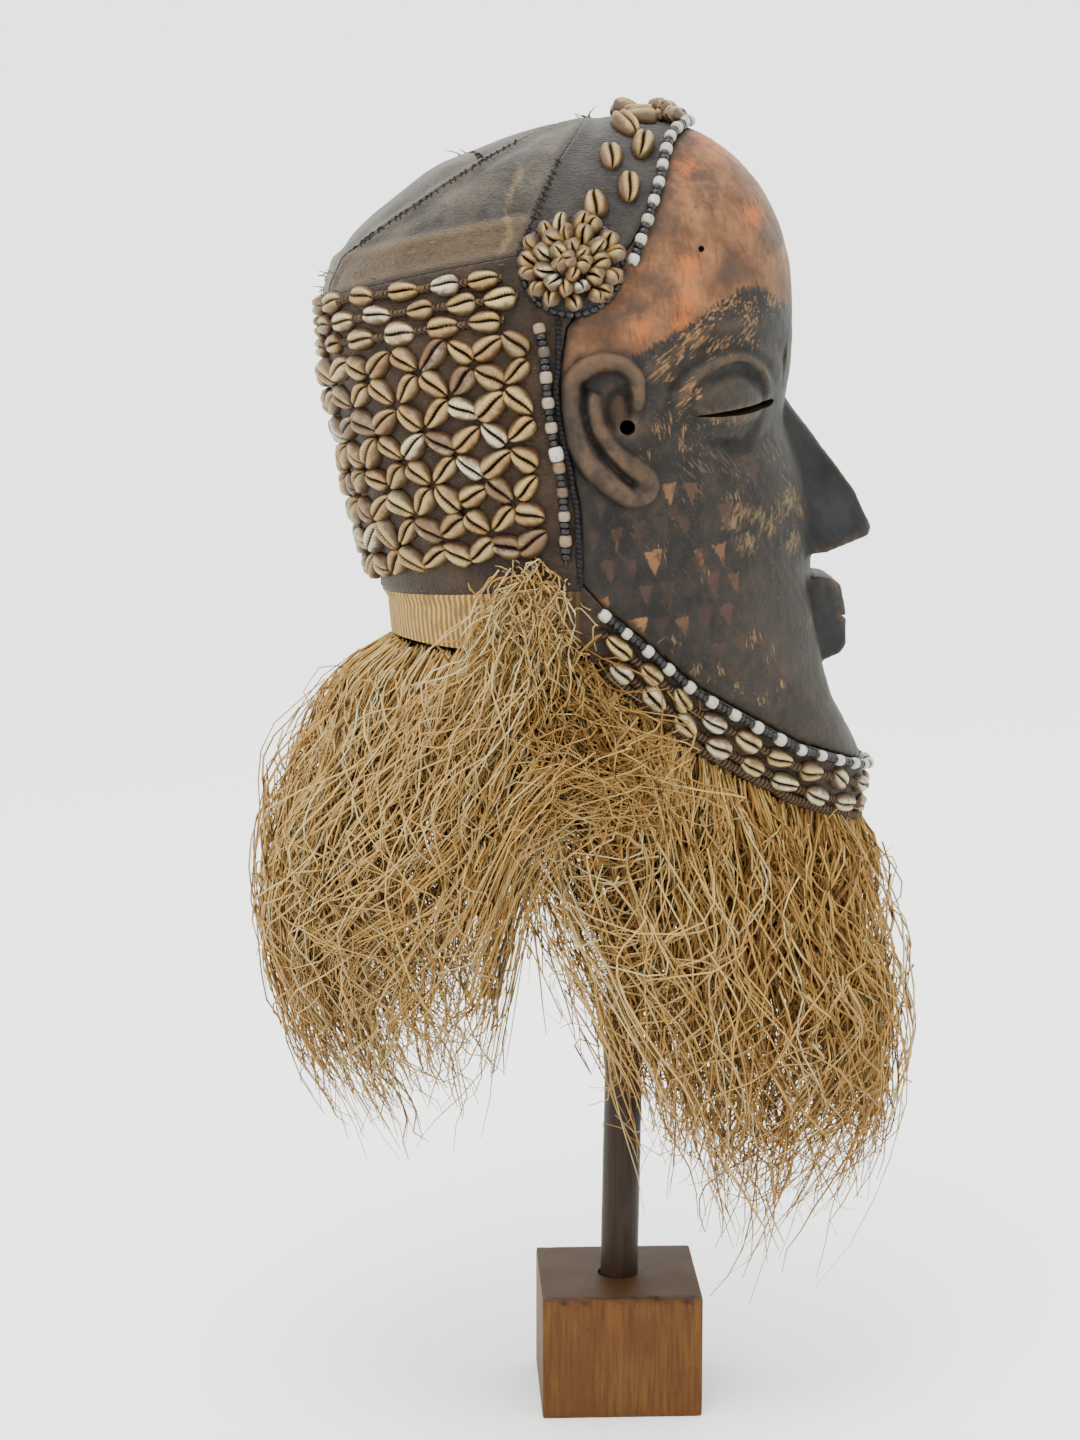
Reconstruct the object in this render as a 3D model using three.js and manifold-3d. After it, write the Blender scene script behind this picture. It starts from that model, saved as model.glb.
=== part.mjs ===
// A carved helmet mask with a cloth hood, cowrie shells, bead strings and a raffia fringe,
// on a wooden rod in a wooden block. Millimetres, +Z up, the face looks along -Y,
// the wearer's right side is at -X. The origin is the middle of the block's underside.

import * as THREE from 'three';
import { ConvexGeometry } from 'three/addons/geometries/ConvexGeometry.js';
import { mergeVertices } from 'three/addons/utils/BufferGeometryUtils.js';
import Module from 'manifold-3d';

// Driving dimensions of the stand. The rod's top is cut to the hollow it stands in.
const blockSide = 80;
const blockHeight = 62;
const blockEdge = 1.2;
const rodDiameter = 19;
const rodLongest = 620;
const rodLean = THREE.MathUtils.degToRad(1.0);
const socketDiameter = 20.6;
const socketDepth = 34;
const rodFloor = blockHeight - socketDepth + 0.5;

// Driving dimensions of the head form
const headHalfWidth = 88;
const headCentre = { forward: -5, up: 475 };
const woodWall = 9;
const clothThickness = 3.5;
const neckBandThickness = 7;

// The gap between touching pieces, half of it where both are cut back, and the larger one
// under the rosettes and tufts, which rest on the flat facets of both the hood and the wood
const gap = 0.3;
const seamGap = gap / 2;
const restGap = 1.4;

// A slab wider than the head, for cuts seen from the side, and a height above everything
const cutHalfWidth = 150;
const aboveAll = 700;

// The head's outline in the middle plane, as forward and up, without the nose and the mouth.
// From [-95, 330] to [112, 290] it only closes the form, below the open neck.
const headOutline = [
  [82, 545], [78.5, 578], [64.5, 608], [40, 629.5], [5, 639], [-30, 635.5], [-68, 623], [-107, 602],
  [-132, 580], [-143, 561], [-143, 545], [-136, 490], [-130, 460], [-115, 411], [-112, 390],
  [-95, 330], [-50, 262], [5, 245], [65, 258], [112, 290], [119, 306], [120, 325], [114, 341],
  [104, 357], [95, 376], [93, 400], [93, 425], [80, 490], [79, 505],
];

// Beside the mouth and the chin's hollow the cheeks fill out to a straight outline
const cheekFill = { from: [120, 325], to: [92, 432], fullAt: 42 };

// Lines seen from the side, as forward and up
const cutTop = 660;
const hairLine = [[34, cutTop], [33, 640], [25, 632], [18, 622], [11, 599], [-1, 579], [-17.5, 562]];
const cheekLine = [[-17.5, 562], [-31, 541], [-33.8, 523], [-34, 507], [-31, 488], [-27, 471], [-25, 455], [-24, 424]];
const jawLine = [[-24, 424], [-14, 413], [3, 399], [31, 374], [51, 362], [81, 344], [105, 334], [122, 326]];
const jawEnd = [160, 318];
const seamLine = [[-14, cutTop], [-19, 637], [-32, 618], [-40, 601], [-47, 586], [-52, 574]];
const hemLine = [[-160, 551], [-135, 556], [-93, 566], [-52, 574], [-17.5, 562]];
const rimLine = [[-160, 413], [-112, 414], [-60, 419], [-24, 421]];
const neckLowerLine = [[-160, 395], [-60, 390], [-20, 380]];
const neckBandSlope = 4;
const chinBandDepth = 30;
const chinBandFrontDepth = 25;
const chinFrontStart = 90;

const wasm = await Module();
wasm.setup();

// A point from its places forward of, beside and above the origin
const place = (forward, side, up) => new THREE.Vector3(side, -forward, up);

// The height of a line of [forward, up] points at one place forward
function lineHeight(points, forward) {
  let i = 1;
  while (i < points.length - 1 && Math.sign(points[1][0] - points[0][0]) * (forward - points[i][0]) > 0) {
    i += 1;
  }
  const [from, to] = [points[i - 1], points[i]];
  const share = (forward - from[0]) / (to[0] - from[0]);
  return THREE.MathUtils.lerp(from[1], to[1], THREE.MathUtils.clamp(share, -1, 2));
}

// The outline as reach over angle about the head's centre, joined by a smooth curve
const outlineKnots = headOutline.map(([forward, up]) => {
  const across = forward - headCentre.forward;
  const above = up - headCentre.up;
  return { angle: Math.atan2(above, across), reach: Math.hypot(across, above) };
});
for (let i = 1; i < outlineKnots.length; i += 1) {
  while (outlineKnots[i].angle < outlineKnots[i - 1].angle) {
    outlineKnots[i].angle += 2 * Math.PI;
  }
}

function outlineKnot(i) {
  const count = outlineKnots.length;
  const turns = Math.floor(i / count);
  const { angle, reach } = outlineKnots[i - turns * count];
  return { angle: angle + turns * 2 * Math.PI, reach };
}

function middleReach(angle) {
  const first = outlineKnots[0].angle;
  const turned = first + THREE.MathUtils.euclideanModulo(angle - first, 2 * Math.PI);
  let i = outlineKnots.length - 1;
  while (outlineKnots[i].angle > turned) {
    i -= 1;
  }
  const [before, from, to, after] = [-1, 0, 1, 2].map((step) => outlineKnot(i + step));
  const span = to.angle - from.angle;
  const t = (turned - from.angle) / span;
  const slopeFrom = (to.reach - before.reach) / (to.angle - before.angle);
  const slopeTo = (after.reach - from.reach) / (after.angle - from.angle);
  return (1 + 2 * t) * (1 - t) ** 2 * from.reach + t * (1 - t) ** 2 * span * slopeFrom
    + t * t * (3 - 2 * t) * to.reach + t * t * (t - 1) * span * slopeTo;
}

// Reach of the straight line of the filled cheek at this angle
function fillReach(angle) {
  const [fromForward, fromUp] = [cheekFill.from[0] - headCentre.forward, cheekFill.from[1] - headCentre.up];
  const [alongForward, alongUp] = [cheekFill.to[0] - cheekFill.from[0], cheekFill.to[1] - cheekFill.from[1]];
  return (fromForward * alongUp - fromUp * alongForward)
    / (Math.cos(angle) * alongUp - Math.sin(angle) * alongForward);
}

const fillStart = Math.atan2(cheekFill.from[1] - headCentre.up, cheekFill.from[0] - headCentre.forward);
const fillEnd = Math.atan2(cheekFill.to[1] - headCentre.up, cheekFill.to[0] - headCentre.forward);

// The outline's reach at a distance beside the middle plane
function outlineReach(angle, side = 0) {
  const reach = middleReach(angle);
  const wrapped = Math.atan2(Math.sin(angle), Math.cos(angle));
  if (wrapped < fillStart || wrapped > fillEnd) {
    return reach;
  }
  const share = THREE.MathUtils.smoothstep(Math.abs(side), 0, cheekFill.fullAt);
  return THREE.MathUtils.lerp(reach, Math.max(reach, fillReach(wrapped)), share);
}

// How full the head is towards its sides: the face and jaw fall back sooner than the nape and crown
const sidePower = (angle) => 2.0 - 0.2 * Math.cos(angle) + 0.2 * Math.sin(angle);

// Below 1 inside the head, 1 on its surface
function headLevel(point) {
  const across = -point.y - headCentre.forward;
  const above = point.z - headCentre.up;
  const angle = Math.atan2(above, across);
  const power = sidePower(angle);
  return (Math.hypot(across, above) / outlineReach(angle, point.x)) ** power
    + (Math.abs(point.x) / headHalfWidth) ** power;
}

function headNormal(point) {
  const step = 1.5;
  const slope = (axis) => {
    const before = point.clone();
    const after = point.clone();
    before[axis] -= step;
    after[axis] += step;
    return headLevel(after) - headLevel(before);
  };
  return new THREE.Vector3(slope('x'), slope('y'), slope('z')).normalize();
}

// Where a straight line out of the head meets its surface
function cast(origin, direction) {
  let inside = 0;
  let outside = 400;
  for (let i = 0; i < 40; i += 1) {
    const middle = (inside + outside) / 2;
    if (headLevel(origin.clone().addScaledVector(direction, middle)) < 1) {
      inside = middle;
    } else {
      outside = middle;
    }
  }
  const point = origin.clone().addScaledVector(direction, inside);
  return { point, normal: headNormal(point) };
}

// Surface places found from the side, from above, and round an upright axis
const beside = (forward, up, hand) => cast(place(forward, 0, up), new THREE.Vector3(hand, 0, 0));
const above = (forward, side) => cast(place(forward, side, headCentre.up), new THREE.Vector3(0, 0, 1));
const around = (axisForward, azimuth, up) => cast(
  place(axisForward, 0, up),
  new THREE.Vector3(Math.sin(azimuth), -Math.cos(azimuth), 0),
);

// Round the surface at a height that depends on the place forward
function aroundAt(axisForward, azimuth, heightAt) {
  let spot = around(axisForward, azimuth, heightAt(axisForward));
  for (let i = 0; i < 12; i += 1) {
    spot = around(axisForward, azimuth, heightAt(-spot.point.y));
  }
  return spot;
}

const lifted = (spot, lift) => spot.point.clone().addScaledVector(spot.normal, lift);

// A closed mesh from its corners and triangles, turned so that its faces look outwards
function solid(corners, triangles) {
  let volume = 0;
  for (const [a, b, c] of triangles) {
    volume += corners[a].dot(corners[b].clone().cross(corners[c]));
  }
  const geometry = new THREE.BufferGeometry();
  geometry.setAttribute('position', new THREE.Float32BufferAttribute(corners.flatMap((p) => p.toArray()), 3));
  geometry.setIndex(triangles.flatMap(([a, b, c]) => (volume > 0 ? [a, b, c] : [a, c, b])));
  return geometry;
}

function toManifold(geometry) {
  const bare = geometry.clone();
  bare.deleteAttribute('normal');
  bare.deleteAttribute('uv');
  const merged = mergeVertices(bare, 1e-4);
  return new wasm.Manifold(new wasm.Mesh({
    numProp: 3,
    vertProperties: new Float32Array(merged.attributes.position.array),
    triVerts: new Uint32Array(merged.index.array),
  }));
}

function fromManifold(body) {
  const { numProp, vertProperties, triVerts } = body.getMesh();
  const positions = [];
  for (let i = 0; i < vertProperties.length; i += numProp) {
    positions.push(vertProperties[i], vertProperties[i + 1], vertProperties[i + 2]);
  }
  const geometry = new THREE.BufferGeometry();
  geometry.setAttribute('position', new THREE.Float32BufferAttribute(positions, 3));
  geometry.setIndex(Array.from(triVerts));
  return geometry;
}

// Closed head form, set in from the true surface: two poles and a ring of corners at each turn
function headForm(inset, angles, turnSteps) {
  const corners = [];
  const triangles = [];
  const half = headHalfWidth - inset;
  corners.push(place(headCentre.forward, -half, headCentre.up));
  corners.push(place(headCentre.forward, half, headCentre.up));
  for (let row = 1; row < turnSteps; row += 1) {
    const turn = Math.PI * (row / turnSteps - 0.5);
    for (const angle of angles) {
      const power = 2 / sidePower(angle);
      const side = half * Math.sign(turn) * Math.abs(Math.sin(turn)) ** power;
      const reach = (outlineReach(angle, side) - inset) * Math.cos(turn) ** power;
      corners.push(place(
        headCentre.forward + reach * Math.cos(angle),
        side,
        headCentre.up + reach * Math.sin(angle),
      ));
    }
  }
  const count = angles.length;
  const corner = (row, column) => 2 + (row - 1) * count + (column % count);
  for (let column = 0; column < count; column += 1) {
    triangles.push([0, corner(1, column), corner(1, column + 1)]);
    triangles.push([1, corner(turnSteps - 1, column + 1), corner(turnSteps - 1, column)]);
    for (let row = 1; row < turnSteps - 1; row += 1) {
      const [a, b] = [corner(row, column), corner(row, column + 1)];
      const [c, d] = [corner(row + 1, column + 1), corner(row + 1, column)];
      triangles.push([a, c, b], [a, d, c]);
    }
  }
  return toManifold(solid(corners, triangles));
}

// A block across the whole head with this outline seen from the side
function sidePrism(points) {
  const shape = new THREE.Shape(points.map(([forward, up]) => new THREE.Vector2(forward, up)));
  const geometry = new THREE.ExtrudeGeometry(shape, { depth: 2 * cutHalfWidth, bevelEnabled: false });
  const turn = new THREE.Matrix4().makeBasis(
    new THREE.Vector3(0, -1, 0),
    new THREE.Vector3(0, 0, 1),
    new THREE.Vector3(-1, 0, 0),
  );
  geometry.applyMatrix4(turn).translate(cutHalfWidth, 0, 0);
  return toManifold(geometry);
}

// A block through the whole height with this outline seen from above
function plumbPrism(points) {
  const shape = new THREE.Shape(points.map(([forward, side]) => new THREE.Vector2(side, -forward)));
  const geometry = new THREE.ExtrudeGeometry(shape, { depth: aboveAll, bevelEnabled: false });
  return toManifold(geometry);
}

const shifted = (points, forward, up) => points.map(([f, u]) => [f + forward, u + up]);

// A solid through a row of rings of equal count, closed at both ends
function ringLoft(rings) {
  const corners = rings.flat();
  const count = rings[0].length;
  const triangles = [];
  for (let row = 0; row < rings.length - 1; row += 1) {
    for (let i = 0; i < count; i += 1) {
      const next = (i + 1) % count;
      const [a, b] = [row * count + i, row * count + next];
      triangles.push([a, b, b + count], [a, b + count, a + count]);
    }
  }
  const last = (rings.length - 1) * count;
  for (let i = 1; i < count - 1; i += 1) {
    triangles.push([0, i + 1, i], [last, last + i, last + i + 1]);
  }
  return solid(corners, triangles);
}

// A slab between two equal grids of points
function gridSlab(outer, inner) {
  const rows = outer.length;
  const columns = outer[0].length;
  const corners = [...outer.flat(), ...inner.flat()];
  const outside = (row, column) => row * columns + column;
  const inside = (row, column) => rows * columns + outside(row, column);
  const triangles = [];
  const quad = (a, b, c, d) => triangles.push([a, b, c], [a, c, d]);
  const edge = ([rowA, columnA], [rowB, columnB]) => quad(
    outside(rowA, columnA), outside(rowB, columnB), inside(rowB, columnB), inside(rowA, columnA),
  );
  for (let row = 0; row < rows - 1; row += 1) {
    for (let column = 0; column < columns - 1; column += 1) {
      const cell = [[row, column], [row + 1, column], [row + 1, column + 1], [row, column + 1]];
      quad(...cell.map((place) => outside(...place)));
      quad(...cell.toReversed().map((place) => inside(...place)));
    }
  }
  for (let column = 0; column < columns - 1; column += 1) {
    edge([0, column], [0, column + 1]);
    edge([rows - 1, column + 1], [rows - 1, column]);
  }
  for (let row = 0; row < rows - 1; row += 1) {
    edge([row + 1, 0], [row, 0]);
    edge([row, columns - 1], [row + 1, columns - 1]);
  }
  return solid(corners, triangles);
}

// A rounded bar along surface spots, with its middle at a height above them
function surfaceBar(spots, { radius, lift, sides, steps }) {
  const path = new THREE.CatmullRomCurve3(spots.map((spot) => lifted(spot, lift)));
  const section = new THREE.Shape();
  for (let i = 0; i < sides; i += 1) {
    const turn = (2 * Math.PI * i) / sides;
    section[i ? 'lineTo' : 'moveTo'](radius * Math.cos(turn), radius * Math.sin(turn));
  }
  return toManifold(new THREE.ExtrudeGeometry(section, { steps, extrudePath: path, bevelEnabled: false }));
}

const group = new THREE.Group();
group.name = 'beaded_mask_on_stand';

function addPiece(name, geometry, { colour, roughness }) {
  const material = new THREE.MeshStandardMaterial({ color: colour, roughness, metalness: 0 });
  const mesh = new THREE.Mesh(geometry, material);
  mesh.name = name;
  group.add(mesh);
}

const looks = {
  block: { colour: 0x7d5a42, roughness: 0.6 },
  rod: { colour: 0x4a3b35, roughness: 0.4 },
  wood: { colour: 0x4b3a30, roughness: 0.6 },
  crown: { colour: 0x5d5550, roughness: 0.8 },
  backCloth: { colour: 0x5a4238, roughness: 0.8 },
  neckBand: { colour: 0x9c8460, roughness: 0.8 },
  shell: { colour: 0xc9b28d, roughness: 0.5 },
  bead: { colour: 0xd8cfbd, roughness: 0.4 },
  raffia: { colour: 0xb08d52, roughness: 0.9 },
};

// Angles about the head's centre: fine over the face, coarser behind
const hoodAngles = outlineKnots.map(({ angle }) => angle);
const faceAngles = hoodAngles.filter((angle, i) => Math.cos(angle - 0.3) > -0.1 || i % 3 === 0);
const cavityAngles = hoodAngles.filter((_, i) => i % 2 === 0);
const faceTurns = 12;
const hoodTurns = 10;
const cavityTurns = 7;

const roundSides = 16;

// Stand block with the rod's socket
function standBlock() {
  const half = blockSide / 2 - blockEdge;
  const shape = new THREE.Shape(
    [[-half, -half], [half, -half], [half, half], [-half, half]].map(([x, y]) => new THREE.Vector2(x, y)),
  );
  const body = new THREE.ExtrudeGeometry(shape, {
    depth: blockHeight - 2 * blockEdge,
    bevelThickness: blockEdge, bevelSize: blockEdge, bevelSegments: 1,
  });
  body.translate(0, 0, blockEdge);
  const radius = socketDiameter / 2;
  const socket = new THREE.CylinderGeometry(radius, radius, 2 * socketDepth, roundSides);
  socket.rotateX(Math.PI / 2).translate(0, 0, blockHeight);
  return fromManifold(toManifold(body).subtract(toManifold(socket)));
}

// Rod up to the underside of the hood, leaning a little towards the face
function standRod() {
  const rod = new THREE.CylinderGeometry(rodDiameter / 2, rodDiameter / 2, rodLongest, roundSides);
  rod.rotateX(Math.PI / 2).translate(0, 0, rodLongest / 2).rotateX(rodLean);
  rod.translate(0, 0, blockHeight - socketDepth);
  const room = 3 * rodDiameter;
  const aboveFloor = new THREE.BoxGeometry(room, room, aboveAll).translate(0, 0, aboveAll / 2 + rodFloor);
  const upToCentre = toManifold(new THREE.BoxGeometry(room, room, headCentre.up));
  const belowHead = upToCentre.translate(0, 0, headCentre.up / 2);
  const underHood = headForm(clothThickness + gap, hoodAngles, hoodTurns).add(belowHead);
  const underWood = headForm(woodWall + gap, cavityAngles, cavityTurns).add(belowHead);
  const whole = toManifold(rod).intersect(toManifold(aboveFloor));
  return fromManifold(whole.intersect(underHood).intersect(underWood));
}

addPiece('stand_block', standBlock(), looks.block);
addPiece('stand_rod', standRod(), looks.rod);

// The convex block round corners given as forward, half width and up
function symmetricBlock(places) {
  const points = places.flatMap(([f, s, u]) => [place(f, s, u), place(f, -s, u)]);
  return toManifold(new ConvexGeometry(points));
}

// The nose: a wedge with a narrow ridge, its wings sunk into the cheeks
const noseRidge = [[78, 3, 507], [113.8, 3.6, 460], [122.2, 5, 442], [120.6, 6, 437.5]];
const noseWings = [[99, 20, 431], [88, 23, 430], [84, 22, 450], [74, 8, 508], [70, 5, 470]];

// The mouth: a block with rounded corners and a groove between the lips
const mouthFront = [[106.5, 15, 415], [109.2, 15, 400], [109.8, 15, 386], [106.5, 15, 381]];
const mouthSides = [[94, 22, 419.5], [101, 22, 418.5], [94, 22, 377]];
const mouthRoot = [[84, 24, 416], [84, 24, 379]];
const lipGroove = { forward: 109.5, up: 399, depth: 4, height: 2.2, width: 60 };

function mouth() {
  const { forward, up, depth, height, width } = lipGroove;
  const groove = new THREE.BoxGeometry(width, 2 * depth, height).translate(0, -forward, up);
  return symmetricBlock([...mouthFront, ...mouthSides, ...mouthRoot]).subtract(toManifold(groove));
}

// One eye: a shallow hollow under the brow, a bulging lid in it and a narrow slit through it.
// The hollow and the lid are ellipsoids with their middles at a height above the surface.
const eyeSpot = { forward: 47, up: 505 };
const eyeCorners = [{ forward: 27, up: 502 }, { forward: 68, up: 506 }];
const eyeHollow = { halfWidth: 36, halfHeight: 27, halfDepth: 13, lift: 6, rings: 5 };
const eyeLid = { halfWidth: 28, halfHeight: 19.5, halfDepth: 9, lift: -7.5, rings: 6 };
const slitHeight = 2.2;
const slitDepth = 70;
const eyeSides = 10;

function eyeFrame(hand) {
  const spot = beside(eyeSpot.forward, eyeSpot.up, hand);
  const [outer, inner] = eyeCorners.map(({ forward, up }) => beside(forward, up, hand).point);
  const along = inner.clone().sub(outer).normalize();
  const out = spot.normal.clone().addScaledVector(along, -spot.normal.dot(along)).normalize();
  const upward = out.clone().cross(along);
  if (upward.z < 0) {
    upward.negate();
  }
  const turn = new THREE.Matrix4().makeBasis(upward.clone().cross(out), upward, out);
  const middle = inner.clone().add(outer).multiplyScalar(0.5);
  return { turn, spot, middle, length: inner.distanceTo(outer) };
}

function eyeDome(hand, { halfWidth, halfHeight, halfDepth, lift, rings }) {
  const { turn, spot } = eyeFrame(hand);
  const dome = new THREE.SphereGeometry(1, eyeSides, rings).scale(halfWidth, halfHeight, halfDepth);
  const centre = lifted(spot, lift);
  return toManifold(dome.applyMatrix4(turn).translate(centre.x, centre.y, centre.z));
}

function eyeSlit(hand) {
  const { turn, middle, length } = eyeFrame(hand);
  const slit = new THREE.BoxGeometry(length, slitHeight, slitDepth);
  return toManifold(slit.applyMatrix4(turn).translate(middle.x, middle.y, middle.z));
}

// Ear: the rim from the ear hole round to the lobe, and the fold inside it
const earRim = [
  [0.5, 502], [1, 514], [-6, 523.5], [-19.5, 525.5], [-29, 517], [-30, 500], [-23.5, 484], [-9, 473], [0, 469],
];
const earFold = [[-21.5, 510], [-17.4, 502], [-7.4, 488.5], [6, 475], [8, 468], [2, 463.5]];
const earRimBar = { radius: 4.8, lift: 2.6, sides: 5, steps: 9 };
const earFoldBar = { radius: 4, lift: 2.4, sides: 4, steps: 5 };
const earHole = { forward: -3, up: 496.3, radius: 3.6, length: 40, sides: 8 };

function ear(hand) {
  const along = (path) => path.map(([forward, up]) => beside(forward, up, hand));
  return surfaceBar(along(earRim), earRimBar).add(surfaceBar(along(earFold), earFoldBar));
}

function earBore(hand) {
  const { forward, up, radius, length, sides } = earHole;
  const bore = new THREE.CylinderGeometry(radius, radius, length, sides).rotateZ(Math.PI / 2);
  const { point } = beside(forward, up, hand);
  return toManifold(bore.translate(point.x, point.y, point.z));
}

// Carved face: the front of the head form, hollow and open below, with its features
function carvedFace() {
  const front = sidePrism([
    ...hairLine, ...cheekLine.slice(1), ...jawLine.slice(1), jawEnd, [jawEnd[0], cutTop],
  ]);
  let face = headForm(0, faceAngles, faceTurns).intersect(front);
  for (const hand of [-1, 1]) {
    face = face.subtract(eyeDome(hand, eyeHollow)).add(eyeDome(hand, eyeLid));
    face = face.add(ear(hand).intersect(front));
  }
  face = face.add(symmetricBlock([...noseRidge, ...noseWings])).add(mouth());
  face = face.subtract(headForm(woodWall, cavityAngles, cavityTurns));
  for (const hand of [-1, 1]) {
    face = face.subtract(eyeSlit(hand)).subtract(earBore(hand));
  }
  return fromManifold(face);
}

addPiece('carved_face', carvedFace(), looks.wood);

// Cloth shell of the hood, cut into its sewn pieces by what is kept of it
const hoodSkin = headForm(0, hoodAngles, hoodTurns);
const hoodShell = hoodSkin.subtract(headForm(clothThickness, hoodAngles, hoodTurns));
const bandShell = hoodSkin.subtract(headForm(neckBandThickness, hoodAngles, hoodTurns));

// Middle strip of the crown, seen from above, as forward and half width
const stripLine = [[-170, 25], [-133, 26], [-118, 33], [-97, 36], [-74, 32], [-50, 23], [-19, 4], [40, 4]];

function stripPrism(spread) {
  const right = stripLine.map(([forward, side]) => [forward, side + spread]);
  const left = stripLine.toReversed().map(([forward, side]) => [forward, -side - spread]);
  return plumbPrism([...right, ...left]);
}

const crownRegion = sidePrism([
  ...shifted(seamLine.slice(0, -1), -seamGap, 0), ...shifted(seamLine.slice(-1), -seamGap, seamGap),
  ...shifted(hemLine.slice(0, -2).reverse(), 0, seamGap), [hemLine[0][0], cutTop],
]);
const crownShell = hoodShell.intersect(crownRegion);
addPiece('crown_middle_strip', fromManifold(crownShell.intersect(stripPrism(-seamGap))), looks.crown);

const crownSides = crownShell.subtract(stripPrism(seamGap));
for (const [name, hand] of [['crown_panel_right', -1], ['crown_panel_left', 1]]) {
  const oneSide = new THREE.BoxGeometry(cutHalfWidth, 3 * cutHalfWidth, aboveAll);
  oneSide.translate((hand * cutHalfWidth) / 2, 0, aboveAll / 2);
  addPiece(name, fromManifold(crownSides.intersect(toManifold(oneSide))), looks.crown);
}

const bandRegion = sidePrism([
  ...shifted(hairLine.slice(0, -1), -gap, 0), ...shifted(hairLine.slice(-1), -gap, seamGap),
  ...shifted(seamLine.slice(-1), seamGap, seamGap), ...shifted(seamLine.slice(0, -1).reverse(), seamGap, 0),
]);
addPiece('crown_front_band', fromManifold(hoodShell.intersect(bandRegion)), looks.crown);

const backRegion = sidePrism([
  ...shifted(hemLine.slice(0, -1), 0, -seamGap), ...shifted(hemLine.slice(-1), -gap, -seamGap),
  ...shifted(cheekLine.slice(1, -1), -gap, 0),
  ...shifted(rimLine.slice(-1), -gap, seamGap), ...shifted(rimLine.slice(0, -1).reverse(), 0, seamGap),
]);
addPiece('back_cloth', fromManifold(hoodShell.intersect(backRegion)), looks.backCloth);

const neckRegion = sidePrism([
  ...shifted(rimLine, 0, -seamGap), ...shifted(neckLowerLine.toReversed(), -neckBandSlope, 0),
]);
addPiece('neck_band', fromManifold(bandShell.intersect(neckRegion)), looks.neckBand);

const chinBandLower = [...jawLine, jawEnd].map(([forward, up]) => [
  forward, up - (forward > chinFrontStart ? chinBandFrontDepth : chinBandDepth),
]);
const chinRegion = sidePrism([
  ...shifted([...jawLine, jawEnd], 0, -gap), ...chinBandLower.toReversed(),
]);
addPiece('chin_band', fromManifold(hoodShell.intersect(chinRegion)), looks.backCloth);

// A chain of shells on the surface: each link swells from a narrow waist to its full size and back.
// Between two ends the surface bulges by about the square of half the link over twice its radius.
const shellFootLift = gap + 0.4;
const waistHalf = 1.1;
const waistHeight = 1.8;
const surfaceRadius = 90;

function shellChain(ends, { halfWidth, height }) {
  const rings = [];
  const ring = (spot, along, half, rise) => {
    const across = spot.normal.clone().cross(along).normalize();
    const foot = lifted(spot, shellFootLift);
    rings.push([
      foot.clone().addScaledVector(across, half),
      foot.clone().addScaledVector(spot.normal, rise),
      foot.clone().addScaledVector(across, -half),
    ]);
  };
  ends.forEach((end, i) => {
    const before = ends[Math.max(i - 1, 0)].point;
    const after = ends[Math.min(i + 1, ends.length - 1)].point;
    ring(end, after.clone().sub(before).normalize(), waistHalf, waistHeight);
    if (i < ends.length - 1) {
      const next = ends[i + 1];
      const along = next.point.clone().sub(end.point).normalize();
      const middle = end.point.clone().add(next.point).multiplyScalar(0.5);
      const normal = end.normal.clone().add(next.normal).normalize();
      const bulge = middle.distanceTo(end.point) ** 2 / (2 * surfaceRadius);
      ring({ point: middle.addScaledVector(normal, bulge), normal }, along, halfWidth, height);
    }
  });
  return ringLoft(rings);
}

// Rows of cowries round the back of the hood, rising by so much for each radian from the nape
const napeAxis = -35;
const straightRise = 12.9;
const zigzagRise = 14;
const straightShell = { halfWidth: 4.7, height: 5.2 };
const zigzagShell = { halfWidth: 4.3, height: 5.2 };
const straightRows = [
  { up: 547.6, count: 12, reach: 71 }, { up: 538.1, count: 13, reach: 77 }, { up: 528.6, count: 12, reach: 73 },
];
const zigzagTop = 522.2;
const zigzagPitch = 13.15;
const zigzagRows = 8;
const zigzagCount = 20;
const zigzagReach = 80.5;
const zigzagSpread = 0.9;
const nodeHalfGap = 1.5;

function napeSpots(count, reachDegrees, rise, upAt) {
  const reach = THREE.MathUtils.degToRad(reachDegrees);
  return Array.from({ length: count + 1 }, (_, i) => {
    const azimuth = reach * ((2 * i) / count - 1);
    return around(napeAxis, Math.PI - azimuth, upAt(i) + rise * Math.abs(azimuth));
  });
}

straightRows.forEach(({ up, count, reach }, i) => {
  const ends = napeSpots(count, reach, straightRise, () => up);
  addPiece(`cowrie_row_${i + 1}`, shellChain(ends, straightShell), looks.shell);
});
for (let row = 0; row < zigzagRows; row += 1) {
  const top = zigzagTop - row * zigzagPitch - nodeHalfGap;
  const bottom = zigzagTop - (row + 1) * zigzagPitch + nodeHalfGap;
  const reach = zigzagReach + zigzagSpread * row;
  const ends = napeSpots(zigzagCount, reach, zigzagRise, (i) => ((i + row) % 2 ? top : bottom));
  addPiece(`cowrie_row_${row + straightRows.length + 1}`, shellChain(ends, zigzagShell), looks.shell);
}

// Strings of beads, square in section: light beads with thinner dark ones between them
const lightBead = 2.6;
const darkBead = 1.45;

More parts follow.
